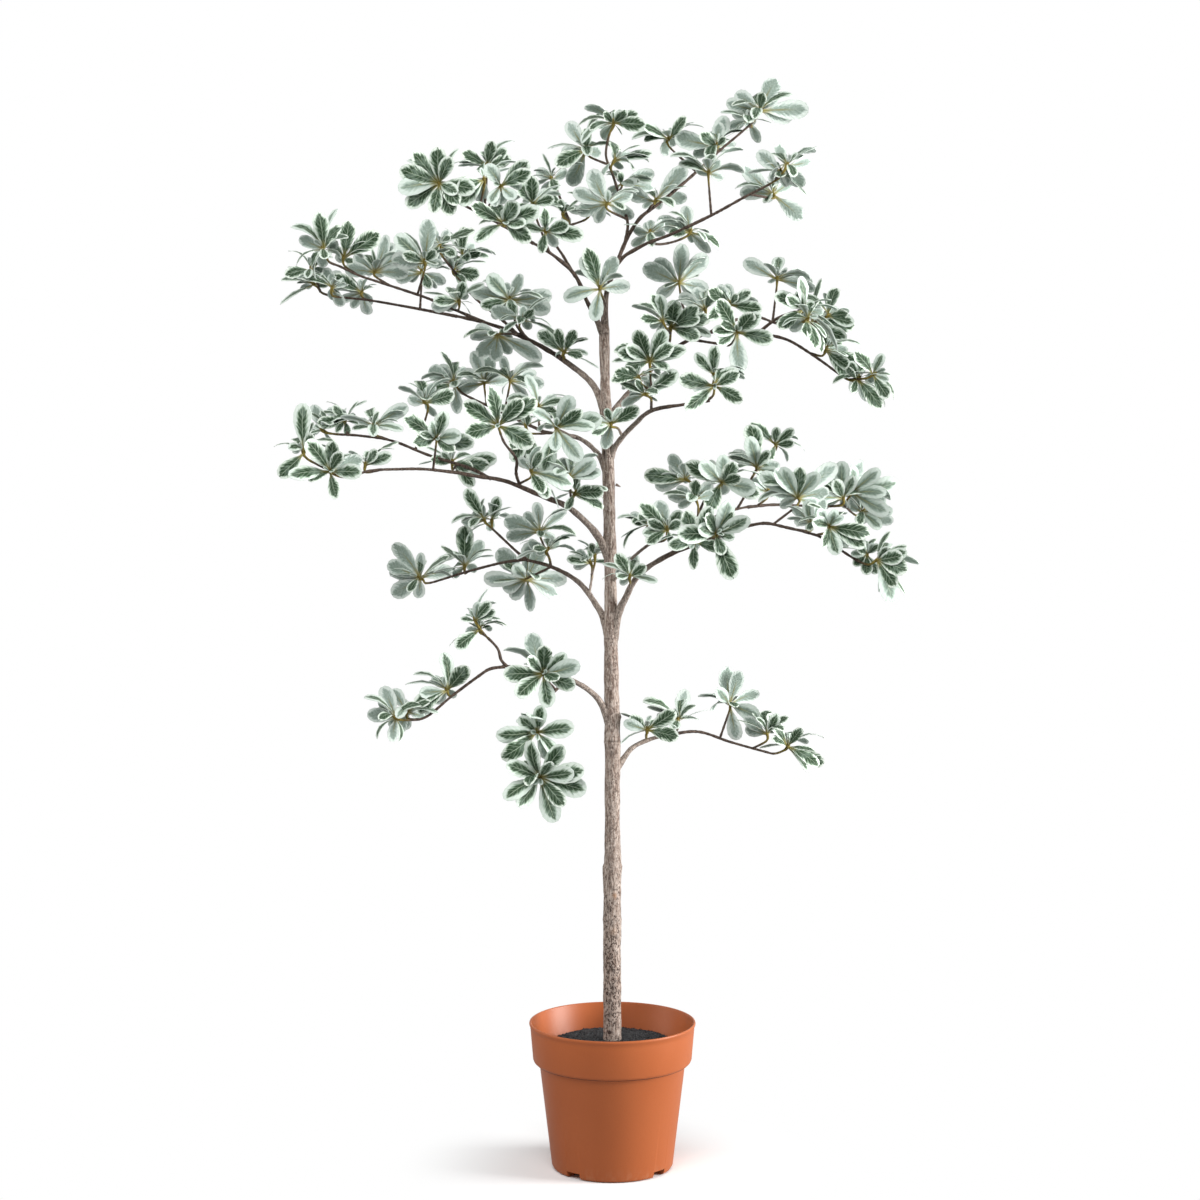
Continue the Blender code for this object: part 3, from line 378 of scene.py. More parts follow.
leafTopLook = {
    "cream": (0.83, 0.89, 0.80), "creamCool": (0.61, 0.695, 0.64), "halo": (0.285, 0.385, 0.280),
    "haloPale": (0.37, 0.465, 0.40), "dark": (0.011, 0.028, 0.011), "darkPatch": (0.062, 0.108, 0.058),
    "frost": (0.21, 0.285, 0.225), "frosting": 0.50, "paleFrom": (0.62, 0.88), "vein": (0.46, 0.56, 0.42),
    "rib": (0.235, 0.215, 0.055), "base": (0.275, 0.228, 0.048),
    "layers": (("Vein", 0.46, "vein"), ("Midrib", 0.66, "vein"),
               ("Rib", 0.80, "rib"), ("Base", 0.80, "base")),
    "roughness": 0.50, "shine": 0.14, "bump": (0.5, 0.0007),
}
leafUnderLook = {
    "sage": (0.270, 0.345, 0.300), "sagePatch": (0.50, 0.59, 0.54), "deep": (0.150, 0.200, 0.155),
    "deepness": 0.55,
    "margin": (0.64, 0.705, 0.655), "vein": (0.42, 0.48, 0.37), "rib": (0.205, 0.19, 0.065),
    "base": (0.26, 0.215, 0.046),
    "layers": (("Vein", 0.30, "vein"), ("Rib", 0.90, "rib"), ("Base", 0.85, "base")),
    "roughness": 0.62, "shine": 0.12, "bump": (0.5, 0.0007),
}


def patternOn(tree):
    inputs, found = placed(tree, leafPatternGroup)
    uv = tree.nodes.new("ShaderNodeUVMap")
    uv.uv_map = "UVMap"
    tree.links.new(uv.outputs[0], inputs["UV"])
    tone = attributeValue(tree, "leafTone")
    tree.links.new(tone, inputs["Tone"])
    return found, tone


def leafTopMaterial():
    look = leafTopLook
    material, tree, shader = newMaterial("leafTop", look)
    found, tone = patternOn(tree)
    cream = blendColours(tree, tone, look["cream"], look["creamCool"])
    dark = blendColours(tree, found["Patch"], look["dark"], look["darkPatch"])
    dark = blendColours(tree, times(tree, found["Frost"], look["frosting"]), dark, look["frost"])
    pale = softStep(tree, tone, *look["paleFrom"])
    found["Rib"] = times(tree, found["Rib"], pale)
    halo = blendColours(tree, pale, look["halo"], look["haloPale"])
    colour = blendColours(tree, found["Halo"], cream, halo)
    colour = layered(tree, look, found, blendColours(tree, found["Centre"], colour, dark))
    dress(tree, shader, colour, found["Height"], *look["bump"])
    return material


def leafUnderMaterial():
    look = leafUnderLook
    material, tree, shader = newMaterial("leafUnder", look)
    found = patternOn(tree)[0]
    sage = blendColours(tree, found["Patch"], look["sage"], look["sagePatch"])
    sage = blendColours(tree, times(tree, found["Centre"], look["deepness"]), sage, look["deep"])
    colour = layered(tree, look, found, blendColours(tree, found["Halo"], look["margin"], sage))
    dress(tree, shader, colour, times(tree, found["Height"], -1.0), *look["bump"])
    return material


# ---- bark, shared by the trunk, the limbs and the twigs

barkGrain = {
    "detail": 3.0, "broad": (60.0, 60.0, 22.0), "streak": (460.0, 460.0, 75.0), "streakRough": 0.65,
    "crust": (380.0, 380.0, 230.0), "crustShift": (3.0, 1.0, 4.0), "crustRough": 0.7,
    "cells": (430.0, 430.0, 230.0), "cellEdge": (0.22, 0.42), "cellsWhere": (0.38, 0.56),
    "crustSpeck": (0.54, 0.62), "tone": (0.34, 0.66), "streaks": (0.36, 0.62), "glint": (0.38, 0.30),
    "speckDent": -0.9, "crustDent": -0.5,
}


def buildBarkGrain():
    given = barkGrain
    tree, inputs, outputs = newGroup(
        "barkGrain", [("Vector", "NodeSocketVector", None), ("Scale", "NodeSocketFloat", 1.0)],
        ("Tone", "Streak", "Speck", "Glint", "Height"))
    vector, scale, detail = inputs["Vector"], inputs["Scale"], given["detail"]
    broad = cloudy(tree, scaled(tree, vector, given["broad"]), scale, detail)
    streak = cloudy(tree, scaled(tree, vector, given["streak"]), scale, detail, given["streakRough"])
    crustPlace = scaled(tree, vector, given["crust"], given["crustShift"])
    crust = cloudy(tree, crustPlace, scale, detail, given["crustRough"])
    cells = speckled(tree, scaled(tree, vector, given["cells"]), scale)
    cells = softFall(tree, cells, *given["cellEdge"])
    speck = times(tree, cells, softStep(tree, broad, *given["cellsWhere"]))
    speck = maths(tree, "MAXIMUM", speck, softStep(tree, crust, *given["crustSpeck"]))
    height = timesPlus(tree, speck, given["speckDent"], streak)
    sendOut(tree, outputs, {
        "Tone": softStep(tree, broad, *given["tone"]), "Streak": softStep(tree, streak, *given["streaks"]),
        "Speck": speck, "Glint": softStep(tree, crust, *given["glint"]),
        "Height": timesPlus(tree, crust, given["crustDent"], height),
    })
    return tree


trunkLook = {
    "light": (0.515, 0.432, 0.375), "mid": (0.245, 0.180, 0.145), "brown": (0.180, 0.122, 0.094),
    "brownAbove": (0.35, 0.75), "browning": 0.75, "speck": (0.042, 0.024, 0.018),
    "speckyBelow": (0.30, 0.52, 0.92, 0.42), "glint": (0.74, 0.67, 0.62), "scar": (0.035, 0.022, 0.018),
    "tan": (0.42, 0.25, 0.15),
    "layers": (("Tone", 0.30, "mid"), ("Speck", 1.0, "speck"), ("Glint", 0.65, "glint"),
               ("tanScar", 1.0, "tan"), ("darkScar", 1.0, "scar")),
    "grain": 1.0, "roughness": 0.78, "shine": 0.16, "bump": (0.8, 0.0013),
}
limbLook = {
    "light": (0.44, 0.370, 0.318), "mid": (0.16, 0.120, 0.098), "farLight": (0.125, 0.088, 0.067),
    "farDark": (0.024, 0.016, 0.012), "farFrom": (0.025, 0.105), "darker": 0.55, "darkerFrom": 1.08,
    "speck": (0.030, 0.019, 0.016), "layers": (("Speck", 0.60, "speck"),), "young": (0.245, 0.195, 0.042),
    "youngDark": (0.095, 0.072, 0.020), "grain": 1.6, "roughness": 0.70, "shine": 0.18, "bumpStrength": 0.6,
}


def grainOn(tree, look):
    inputs, found = placed(tree, barkGrainGroup)
    place = objectPlace(tree)
    tree.links.new(place, inputs["Vector"])
    inputs["Scale"].default_value = look["grain"]
    return found, place


def trunkMaterial():
    look = trunkLook
    material, tree, shader = newMaterial("trunkBark", look)
    found, place = grainOn(tree, look)
    z = alongAxes(tree, place)[2]
    pale = blendColours(tree, found["Streak"], look["mid"], look["light"])
    brown = blendColours(tree, found["Streak"], look["brown"], look["light"])
    browner = times(tree, softStep(tree, z, *look["brownAbove"]), look["browning"])
    found["Speck"] = times(tree, found["Speck"], softStep(tree, z, *look["speckyBelow"]))
    for scar in ("tanScar", "darkScar"):
        found[scar] = attributeValue(tree, scar)
    colour = layered(tree, look, found, blendColours(tree, browner, pale, brown))
    dress(tree, shader, colour, found["Height"], *look["bump"])
    return material


def limbMaterial(name, bumpDepth):
    # Beige by the trunk, dark brown further out, olive at the growing ends.
    look = limbLook
    material, tree, shader = newMaterial(name, look)
    found, place = grainOn(tree, look)
    x, y, z = alongAxes(tree, place)
    near = blendColours(tree, found["Streak"], look["mid"], look["light"])
    far = blendColours(tree, found["Streak"], look["farDark"], look["farLight"])
    outward = maths(tree, "SQRT", maths(tree, "ADD", times(tree, x, x), times(tree, y, y)))
    high = timesPlus(tree, z, look["darker"], -look["darker"] * look["darkerFrom"])
    high = maths(tree, "MAXIMUM", high, 0.0)
    farther = softStep(tree, maths(tree, "ADD", outward, high), *look["farFrom"])
    colour = layered(tree, look, found, blendColours(tree, farther, near, far))
    young = blendColours(tree, found["Streak"], look["youngDark"], look["young"])
    colour = blendColours(tree, attributeValue(tree, "young"), colour, young)
    dress(tree, shader, colour, found["Height"], look["bumpStrength"], bumpDepth)
    return material


leafPatternGroup = buildLeafPattern()
barkGrainGroup = buildBarkGrain()
leafTop = leafTopMaterial()
leafUnder = leafUnderMaterial()
trunkBark = trunkMaterial()
limbBark = limbMaterial("limbBark", 0.0008)
twigBark = limbMaterial("twigBark", 0.0004)
print("foliage and bark materials made")


# ---- wood: round tubes along smooth routes, then knocked out of true

def smoothRoute(points, spacing):
    ends = [2 * points[0] - points[1]] + points + [2 * points[-1] - points[-2]]
    route = []
    for number in range(len(points) - 1):
        a, b, c, d = ends[number:number + 4]
        steps = max(int((c - b).length / spacing), 1)
        for step in range(steps):
            t = step / steps
            route.append(0.5 * (2 * b + (c - a) * t + (2 * a - 5 * b + 4 * c - d) * t * t
                                + (3 * b - a - 3 * c + d) * t * t * t))
    return route + [points[-1]]


def woodTube(name, route, radii, resolution):
    curve = bpy.data.curves.new(name, "CURVE")
    curve.dimensions = "3D"
    curve.bevel_depth = 1.0
    curve.bevel_resolution = resolution
    curve.use_fill_caps = True
    spline = curve.splines.new("POLY")
    spline.points.add(len(route) - 1)
    for point, place, radius in zip(spline.points, route, radii):
        point.co = (*place, 1.0)
        point.radius = radius
    pick(newObject(name, curve))
    bpy.ops.object.convert(target="MESH")
    return mergeAndFace(bpy.context.object)


def nearestStep(route, place):
    return min(range(len(route)), key=lambda step: (route[step] - place).length_squared)


def thinned(thick, thin, t, steady=0.55):
    # The radius at t along a branch: a steady share of it thins evenly, the rest at the root.
    return thin + (thick - thin) * ((1 - t) * steady + (1 - steady) * (1 - t) ** 4)


trunkShape = {
    "profile": [  # height, place across, radius
        (0.165, 0.000, 0.0127), (0.176, 0.000, 0.0125), (0.200, 0.000, 0.0122), (0.252, 0.000, 0.0124),
        (0.262, 0.000, 0.0120), (0.300, 0.000, 0.0121), (0.338, 0.000, 0.0122), (0.344, 0.000, 0.0131),
        (0.350, 0.000, 0.0123), (0.376, 0.000, 0.0122), (0.384, 0.000, 0.0127), (0.392, 0.000, 0.0124),
        (0.412, 0.000, 0.0126), (0.418, 0.000, 0.0131), (0.4225, 0.000, 0.0116), (0.475, 0.000, 0.0106),
        (0.545, 0.000, 0.0105), (0.583, 0.000, 0.0106), (0.590, 0.000, 0.0113), (0.598, 0.000, 0.0107),
        (0.615, 0.000, 0.0108), (0.624, 0.000, 0.0112), (0.634, -0.001, 0.0104), (0.655, -0.001, 0.0098),
        (0.730, -0.002, 0.0096), (0.760, -0.002, 0.0088), (0.815, -0.003, 0.0083), (0.860, -0.004, 0.0088),
        (0.890, -0.004, 0.0081), (0.960, -0.006, 0.0082), (0.985, -0.007, 0.0076), (1.040, -0.009, 0.0078),
        (1.065, -0.010, 0.0070), (1.130, -0.011, 0.0066), (1.146, -0.011, 0.0073), (1.1555, -0.012, 0.0060),
    ],
    "spacing": 0.0024, "resolution": 16,
    "marks": [  # height, turn from the front towards +X in degrees, half width, half height, push, dark, tan
        (0.380, 14, 0.0034, 0.0044, 0.0010, 0.10, 0.9), (0.389, 12, 0.0052, 0.0009, -0.0006, 0.75, 0.0),
        (0.371, 16, 0.0048, 0.0009, -0.0006, 0.70, 0.0), (0.345, 5, 0.0110, 0.0010, -0.0006, 0.70, 0.0),
        (0.331, 6, 0.0046, 0.0058, 0.0016, 0.00, 0.35), (0.3235, 22, 0.0050, 0.0018, -0.0010, 0.90, 0.0),
        (0.339, -8, 0.0034, 0.0010, -0.0006, 0.75, 0.0), (0.277, 0, 0.0026, 0.0040, -0.0008, 0.95, 0.0),
        (0.281, -12, 0.0014, 0.0060, -0.0006, 0.80, 0.0), (0.251, 0, 0.0030, 0.0052, -0.0009, 0.95, 0.0),
        (0.243, -14, 0.0016, 0.0040, -0.0006, 0.80, 0.0), (0.262, 20, 0.0040, 0.0008, -0.0005, 0.70, 0.0),
        (0.404, -4, 0.0052, 0.0008, -0.0006, 0.75, 0.0), (0.411, 8, 0.0044, 0.0007, -0.0006, 0.70, 0.0),
        (0.398, 16, 0.0034, 0.0008, -0.0006, 0.65, 0.0), (0.401, -24, 0.0012, 0.0044, -0.0006, 0.65, 0.0),
        (0.216, -16, 0.0024, 0.0028, -0.0006, 0.70, 0.0), (0.203, 18, 0.0020, 0.0030, -0.0006, 0.65, 0.0),
        (0.190, -8, 0.0030, 0.0018, -0.0005, 0.70, 0.0), (0.361, -26, 0.0016, 0.0036, -0.0005, 0.60, 0.0),
        (0.420, 0, 0.0200, 0.0014, -0.0004, 0.55, 0.0), (0.625, 62, 0.0046, 0.0040, 0.0022, 0.25, 0.1),
        (0.6195, 58, 0.0050, 0.0012, -0.0006, 0.85, 0.0), (0.5925, 0, 0.0140, 0.0011, -0.0006, 0.75, 0.0),
        (0.583, -8, 0.0050, 0.0012, -0.0004, 0.70, 0.0), (0.576, 6, 0.0022, 0.0052, -0.0004, 0.65, 0.0),
        (0.576, -14, 0.0018, 0.0046, -0.0004, 0.55, 0.0), (0.860, 20, 0.0050, 0.0022, 0.0008, 0.35, 0.0),
        (0.853, 10, 0.0060, 0.0010, -0.0005, 0.75, 0.0), (0.983, -35, 0.0026, 0.0052, -0.0008, 0.95, 0.0),
        (1.038, 10, 0.0060, 0.0012, -0.0005, 0.60, 0.0), (1.143, 0, 0.0100, 0.0012, -0.0005, 0.70, 0.0),
        (0.470, -30, 0.0020, 0.0034, -0.0004, 0.45, 0.0), (0.508, 24, 0.0018, 0.0028, -0.0004, 0.45, 0.0),
        (0.310, -42, 0.0024, 0.0030, -0.0005, 0.55, 0.0), (0.690, 30, 0.0020, 0.0026, -0.0004, 0.45, 0.0),
        (0.230, 52, 0.0022, 0.0030, -0.0005, 0.50, 0.0), (0.440, 160, 0.0040, 0.0036, 0.0012, 0.40, 0.2),
        (0.300, 200, 0.0036, 0.0036, 0.0010, 0.45, 0.2), (0.700, 215, 0.0034, 0.0034, 0.0010, 0.45, 0.1),
    ],
    "rough": {"broadScale": 30.0, "broad": 0.0011, "ridgeScale": 290.0, "ridgeStretch": 0.30,
              "ridge": 0.00060, "core": 0.0004, "markReach": 2.2, "markEdge": 1.4},
    "spur": {"foot": (0.0045, -0.003, 0.9405), "tip": (0.0108, -0.0045, 0.9375),
             "radii": (0.0021, 0.00147, 0.0004)},
}


def roughen(obj, axisAt, rough, marks=()):
    # Push each corner in and out about the wood's axis, and note the scars that the marks leave.
    scars = []
    for vertex in obj.data.vertices:
        place = vertex.co.copy()
        out = place - axisAt(place)
        reach = out.length
        darkHere = tanHere = 0.0
        if reach >= rough["core"]:
            out /= reach
            ridgeSize = rough["ridgeScale"]
            ridge = noise.noise(Vector((place.x * ridgeSize, place.y * ridgeSize,
                                        place.z * ridgeSize * rough["ridgeStretch"])))
            push = noise.noise(place * rough["broadScale"]) * rough["broad"] + ridge * rough["ridge"]
            turn = math.atan2(out.x, -out.y)
            for height, degrees, wide, tall, depth, darkness, tanness in marks:
                if abs(place.z - height) > rough["markReach"] * tall:
                    continue
                sideways = math.remainder(turn - math.radians(degrees), math.tau) * reach
                away = (sideways / wide) ** 2 + ((place.z - height) / tall) ** 2
                near = math.exp(-away * rough["markEdge"])
                push += depth * near
                darkHere = max(darkHere, darkness * near)
                tanHere = max(tanHere, tanness * near)
            vertex.co = place + out * push
        scars.append((darkHere, tanHere))
    obj.data.update()
    return zip(*scars)


def trunkAxisAt(place):
    profile = trunkShape["profile"]
    for low, high in zip(profile, profile[1:]):
        if place.z <= high[0]:
            t = max((place.z - low[0]) / (high[0] - low[0]), 0.0)
            return Vector((low[1] + (high[1] - low[1]) * t, 0.0, place.z))
    return Vector((profile[-1][1], 0.0, place.z))


def buildTrunk():
    given = trunkShape
    centres = [Vector((across, radius, height)) for height, across, radius in given["profile"]]
    smooth = smoothRoute(centres, given["spacing"])
    route = [Vector((place.x, 0.0, place.z)) for place in smooth]
    tube = woodTube("trunkWood", route, [place.y for place in smooth], given["resolution"])
    dark, tan = roughen(tube, trunkAxisAt, given["rough"], given["marks"])
    paint(tube, "darkScar", dark)
    paint(tube, "tanScar", tan)
    spur = given["spur"]
    foot, tip = Vector(spur["foot"]), Vector(spur["tip"])
    thorn = woodTube("thorn", [foot, foot.lerp(tip, 0.5), tip], spur["radii"], 2)
    for wood in (tube, thorn):
        wood.data.materials.append(trunkBark)
    finishPiece(smoothFaces(joinAll("trunkWood", [tube, thorn]), 60), "bark", "trunk")


buildTrunk()
print("trunk made")


# ---- limbs: each run is its root radius, its tip radius and its places, from trunk to tip. A place is given
# as an eye at viewEye sees it: across, up, behind.

viewEye = Vector((-0.017, -3.774, 1.142))
limbShapes = {
    "limb_left_low": [
        (0.0058, 0.0020, [(-0.002, 0.612, 0.0), (-0.019, 0.648, -0.010), (-0.048, 0.671, -0.025),
                          (-0.092, 0.685, -0.040), (-0.125, 0.692, -0.048), (-0.150, 0.694, -0.050)]),
    ],
    "limb_right_low": [
        (0.0056, 0.0024, [(0.000, 0.545, 0.0), (0.017, 0.570, 0.006), (0.030, 0.584, 0.012),
                          (0.052, 0.594, 0.020), (0.076, 0.600, 0.028)]),
    ],
    "limb_left_arch": [
        (0.0060, 0.0020, [(-0.002, 0.728, 0.0), (-0.010, 0.752, 0.006), (-0.018, 0.771, 0.015),
                          (-0.046, 0.808, 0.045), (-0.085, 0.830, 0.080), (-0.125, 0.840, 0.115)]),
    ],
    "limb_right_long": [
        (0.0062, 0.0024, [(0.000, 0.730, 0.0), (0.008, 0.765, -0.006), (0.016, 0.784, -0.012),
                          (0.037, 0.819, -0.028), (0.080, 0.847, -0.050), (0.138, 0.868, -0.075),
                          (0.184, 0.886, -0.090)]),
        (0.0028, 0.0018, [(0.080, 0.847, -0.050), (0.098, 0.866, -0.015), (0.125, 0.888, 0.025),
                          (0.155, 0.904, 0.060), (0.187, 0.911, 0.085)]),
    ],
    "limb_left_long": [
        (0.0060, 0.0022, [(-0.004, 0.842, 0.0), (-0.024, 0.876, -0.012), (-0.059, 0.909, -0.035),
                          (-0.098, 0.926, -0.060), (-0.145, 0.945, -0.090), (-0.186, 0.952, -0.115),
                          (-0.211, 0.957, -0.128)]),
    ],
    "limb_left_upper": [
        (0.0048, 0.0020, [(-0.006, 0.953, 0.0), (-0.020, 0.982, 0.012), (-0.044, 1.002, 0.035),
                          (-0.072, 1.008, 0.060), (-0.098, 1.013, 0.085)]),
    ],
    "limb_right_upper": [
        (0.0046, 0.0020, [(-0.006, 0.970, 0.0), (0.005, 0.994, -0.006), (0.029, 1.021, -0.030),
                          (0.053, 1.040, -0.055), (0.096, 1.048, -0.090), (0.130, 1.053, -0.115)]),
    ],
    "limb_right_top": [
        (0.0046, 0.0022, [(-0.008, 1.026, 0.0), (0.015, 1.056, 0.008), (0.041, 1.084, 0.014),
                          (0.070, 1.112, 0.018), (0.098, 1.132, 0.020), (0.133, 1.145, 0.020),
                          (0.170, 1.147, 0.015), (0.207, 1.141, 0.008)]),
    ],
    "limb_top_left": [
        (0.0052, 0.0022, [(-0.009, 1.036, 0.0), (-0.027, 1.075, 0.014), (-0.061, 1.104, 0.040),
                          (-0.098, 1.127, 0.070), (-0.143, 1.148, 0.105), (-0.180, 1.160, 0.130),
                          (-0.214, 1.167, 0.150)]),
    ],
    "limb_crown_left": [
        (0.0040, 0.0020, [(-0.012, 1.140, 0.0), (-0.022, 1.163, -0.010), (-0.034, 1.185, -0.022),
                          (-0.052, 1.223, -0.045), (-0.086, 1.252, -0.070), (-0.110, 1.265, -0.085)]),
    ],
    "leader": [
        (0.0046, 0.0020, [(-0.011, 1.148, 0.0), (-0.010, 1.176, 0.0), (-0.007, 1.202, 0.002),
                          (0.004, 1.233, 0.008), (0.019, 1.269, 0.020), (0.036, 1.296, 0.035),
                          (0.058, 1.313, 0.050), (0.082, 1.332, 0.062)]),
        (0.0028, 0.0019, [(0.004, 1.233, 0.008), (0.017, 1.247, 0.000), (0.046, 1.263, -0.020),
                          (0.075, 1.274, -0.040), (0.102, 1.286, -0.058)]),
    ],
}
limbMake = {
    "spacing": 0.0030, "resolution": 4, "flare": 0.30, "flareLength": 0.020,
    "rough": {"broadScale": 70.0, "broad": 0.0007, "ridgeScale": 330.0, "ridgeStretch": 0.5,
              "ridge": 0.00022, "core": 0.0004},
}


def seenSpot(across, up, behind):
    return viewEye.lerp(Vector((across, 0.0, up)), (behind - viewEye.y) / -viewEye.y)


def pieceName(node):
    words = node.split("_")
    return words[0] + "".join(word.capitalize() for word in words[1:])


def buildLimb(node):
    given = limbMake
    tubes = []
    for rootRadius, tipRadius, places in limbShapes[node]:
        route = smoothRoute([seenSpot(*place) for place in places], given["spacing"])
        radii = []
        travelled = 0.0
        for step, place in enumerate(route):
            travelled += (place - route[step - 1]).length if step else 0.0
            radius = thinned(rootRadius, tipRadius, step / (len(route) - 1))
            flare = 0.0 if tubes else given["flare"] * math.exp(-((travelled / given["flareLength"]) ** 2))
            radii.append(radius * (1 + flare))
        tube = woodTube(node + "Run", route, radii, given["resolution"])
        roughen(tube, lambda place: route[nearestStep(route, place)], given["rough"])
        tubes.append(tube)
    limb = joinAll(pieceName(node) + "Wood", tubes)
    limb.data.materials.append(limbBark)
    finishPiece(smoothFaces(limb, 60), "twig_bark", node)


for node in limbShapes:
    buildLimb(node)
print("limbs made:", len(limbShapes))


# ---- leaves: modelled once in each habit, a unit long from stalk to tip, then copied on to every twig end

leafShape = {
    "rowPlaces": (0.0, 0.17, 0.38, 0.60, 0.80, 0.94, 1.0),
    "halfWidths": (0.020, 0.050, 0.146, 0.216, 0.218, 0.154, 0.062),
    "columns": 4, "thickness": 0.012, "waves": 3.3, "sideLag": 1.3, "tipCurl": 1.7, "foldEases": 0.45,
    "parked": 5.0, "rowReach": 0.005,  # how far down rows wait to be set in place, and what counts as one
}
leafHabits = {  # droop of the tip and twist in degrees, fold about the midrib, wave of the margin
    "leafFlat": (24, 4, 0.06, 0.010), "leafArched": (52, 8, -0.05, 0.014),
    "leafDrooping": (78, -10, 0.08, 0.016), "leafCupped": (-20, 6, 0.16, 0.012),
    "leafTwisted": (40, 28, -0.04, 0.020), "leafWavy": (46, -24, 0.06, 0.028),
}
budShape = {"headAbove": 0.4, "narrowing": 0.55, "lengthening": 0.55}


def leafSpine(droop):
    # Places along the midrib, straighter at the stalk than at the tip, set so that stalk and tip lie level.
    places = leafShape["rowPlaces"]
    spine = [(0.0, 0.0)]
    for before, after in zip(places, places[1:]):
        angle = -math.radians(droop) * ((before + after) / 2) ** leafShape["tipCurl"]
        along, up = spine[-1]
        spine.append((along + (after - before) * math.cos(angle), up + (after - before) * math.sin(angle)))
    reach = math.hypot(*spine[-1])
    turn = -math.atan2(spine[-1][1], spine[-1][0])
    flat, steep = math.cos(turn) / reach, math.sin(turn) / reach
    return [(y * flat - z * steep, y * steep + z * flat) for y, z in spine]


def makeLeaf(name, droop, twist, fold, wave):
    given = leafShape
    rows = given["rowPlaces"]
    last = len(rows) - 1
    parked = given["parked"]
    letGo()
    bpy.ops.mesh.primitive_grid_add(x_subdivisions=given["columns"], y_subdivisions=last, size=1.0,
                                    location=(0.0, 0.5, 0.0))
    leaf = settle(bpy.context.object)
    leaf.name = name
    for loop in leaf.data.uv_layers[0].data:
        loop.uv.y = rows[round(loop.uv.y * last)]
    leaf.data.uv_layers[0].name = "UVMap"
    editAll(leaf)
    bpy.ops.transform.translate(value=(0.0, 0.0, -parked))
    for number, (along, up) in enumerate(leafSpine(droop)):
        even = number / last
        selectCorners(leaf, lambda place: place.z < -parked / 2 and abs(place.y - even) < given["rowReach"])
        bpy.ops.transform.resize(value=(2 * given["halfWidths"][number], 1.0, 1.0),
                                 center_override=(0.0, 0.0, 0.0))
        bpy.ops.transform.translate(value=(0.0, along - even, up + parked))
    shape = bmesh.from_edit_mesh(leaf.data)
    widest = max(given["halfWidths"])
    for vertex in shape.verts:
        place = vertex.co
        edge = abs(place.x) / widest
        ripple = math.sin(place.y * given["waves"] * math.tau + (given["sideLag"] if place.x > 0 else 0.0))
        place.z += fold * abs(place.x) * (1 - given["foldEases"] * edge) + wave * ripple * edge * edge
        vertex.co = Matrix.Rotation(math.radians(twist) * place.y, 3, "Y") @ place
    bmesh.update_edit_mesh(leaf.data)
    bpy.ops.object.mode_set(mode="OBJECT")
    leaf.data.materials.append(leafTop)
    leaf.data.materials.append(leafUnder)
    modified(leaf, "SOLIDIFY", thickness=given["thickness"], offset=-1.0, material_offset=1)
    leaf.hide_render = True
    return smoothFaces(leaf, 60)


def makeBud():
    given = budShape
    narrow = given["narrowing"]
    letGo()
    bpy.ops.mesh.primitive_ico_sphere_add(subdivisions=2, radius=1.0)
    bud = bpy.context.object
    bpy.ops.object.mode_set(mode="EDIT")
    selectCorners(bud, lambda place: place.z > given["headAbove"])
    bpy.ops.transform.resize(value=(narrow, narrow, 1.0), center_override=(0.0, 0.0, 0.0))
    bpy.ops.transform.translate(value=(0.0, 0.0, given["lengthening"]))
    bpy.ops.object.mode_set(mode="OBJECT")
    bud.name = "bud"
    bud.data.materials.append(twigBark)
    paintEvenly(bud, "young", 1.0)
    bud.hide_render = True
    return smoothAll(bud)


leafModels = {name: makeLeaf(name, *habit) for name, habit in leafHabits.items()}
budModel = makeBud()
print("leaf models made:", len(leafModels), "of", len(leafModels["leafFlat"].data.polygons), "faces")


# ---- sprays: what each roots in, its stem's places from there to the tip, then its leaf rosettes, each as
# across, up, behind, the way it looks, its reach and its leaves. A leaf is its way round the hub as seen from
# the front, in degrees from straight up, then the side it shows (t the dark upper side, m a half pale one,
# c a pale one, u the under side, e an edge), then its length in hundredths of the reach.

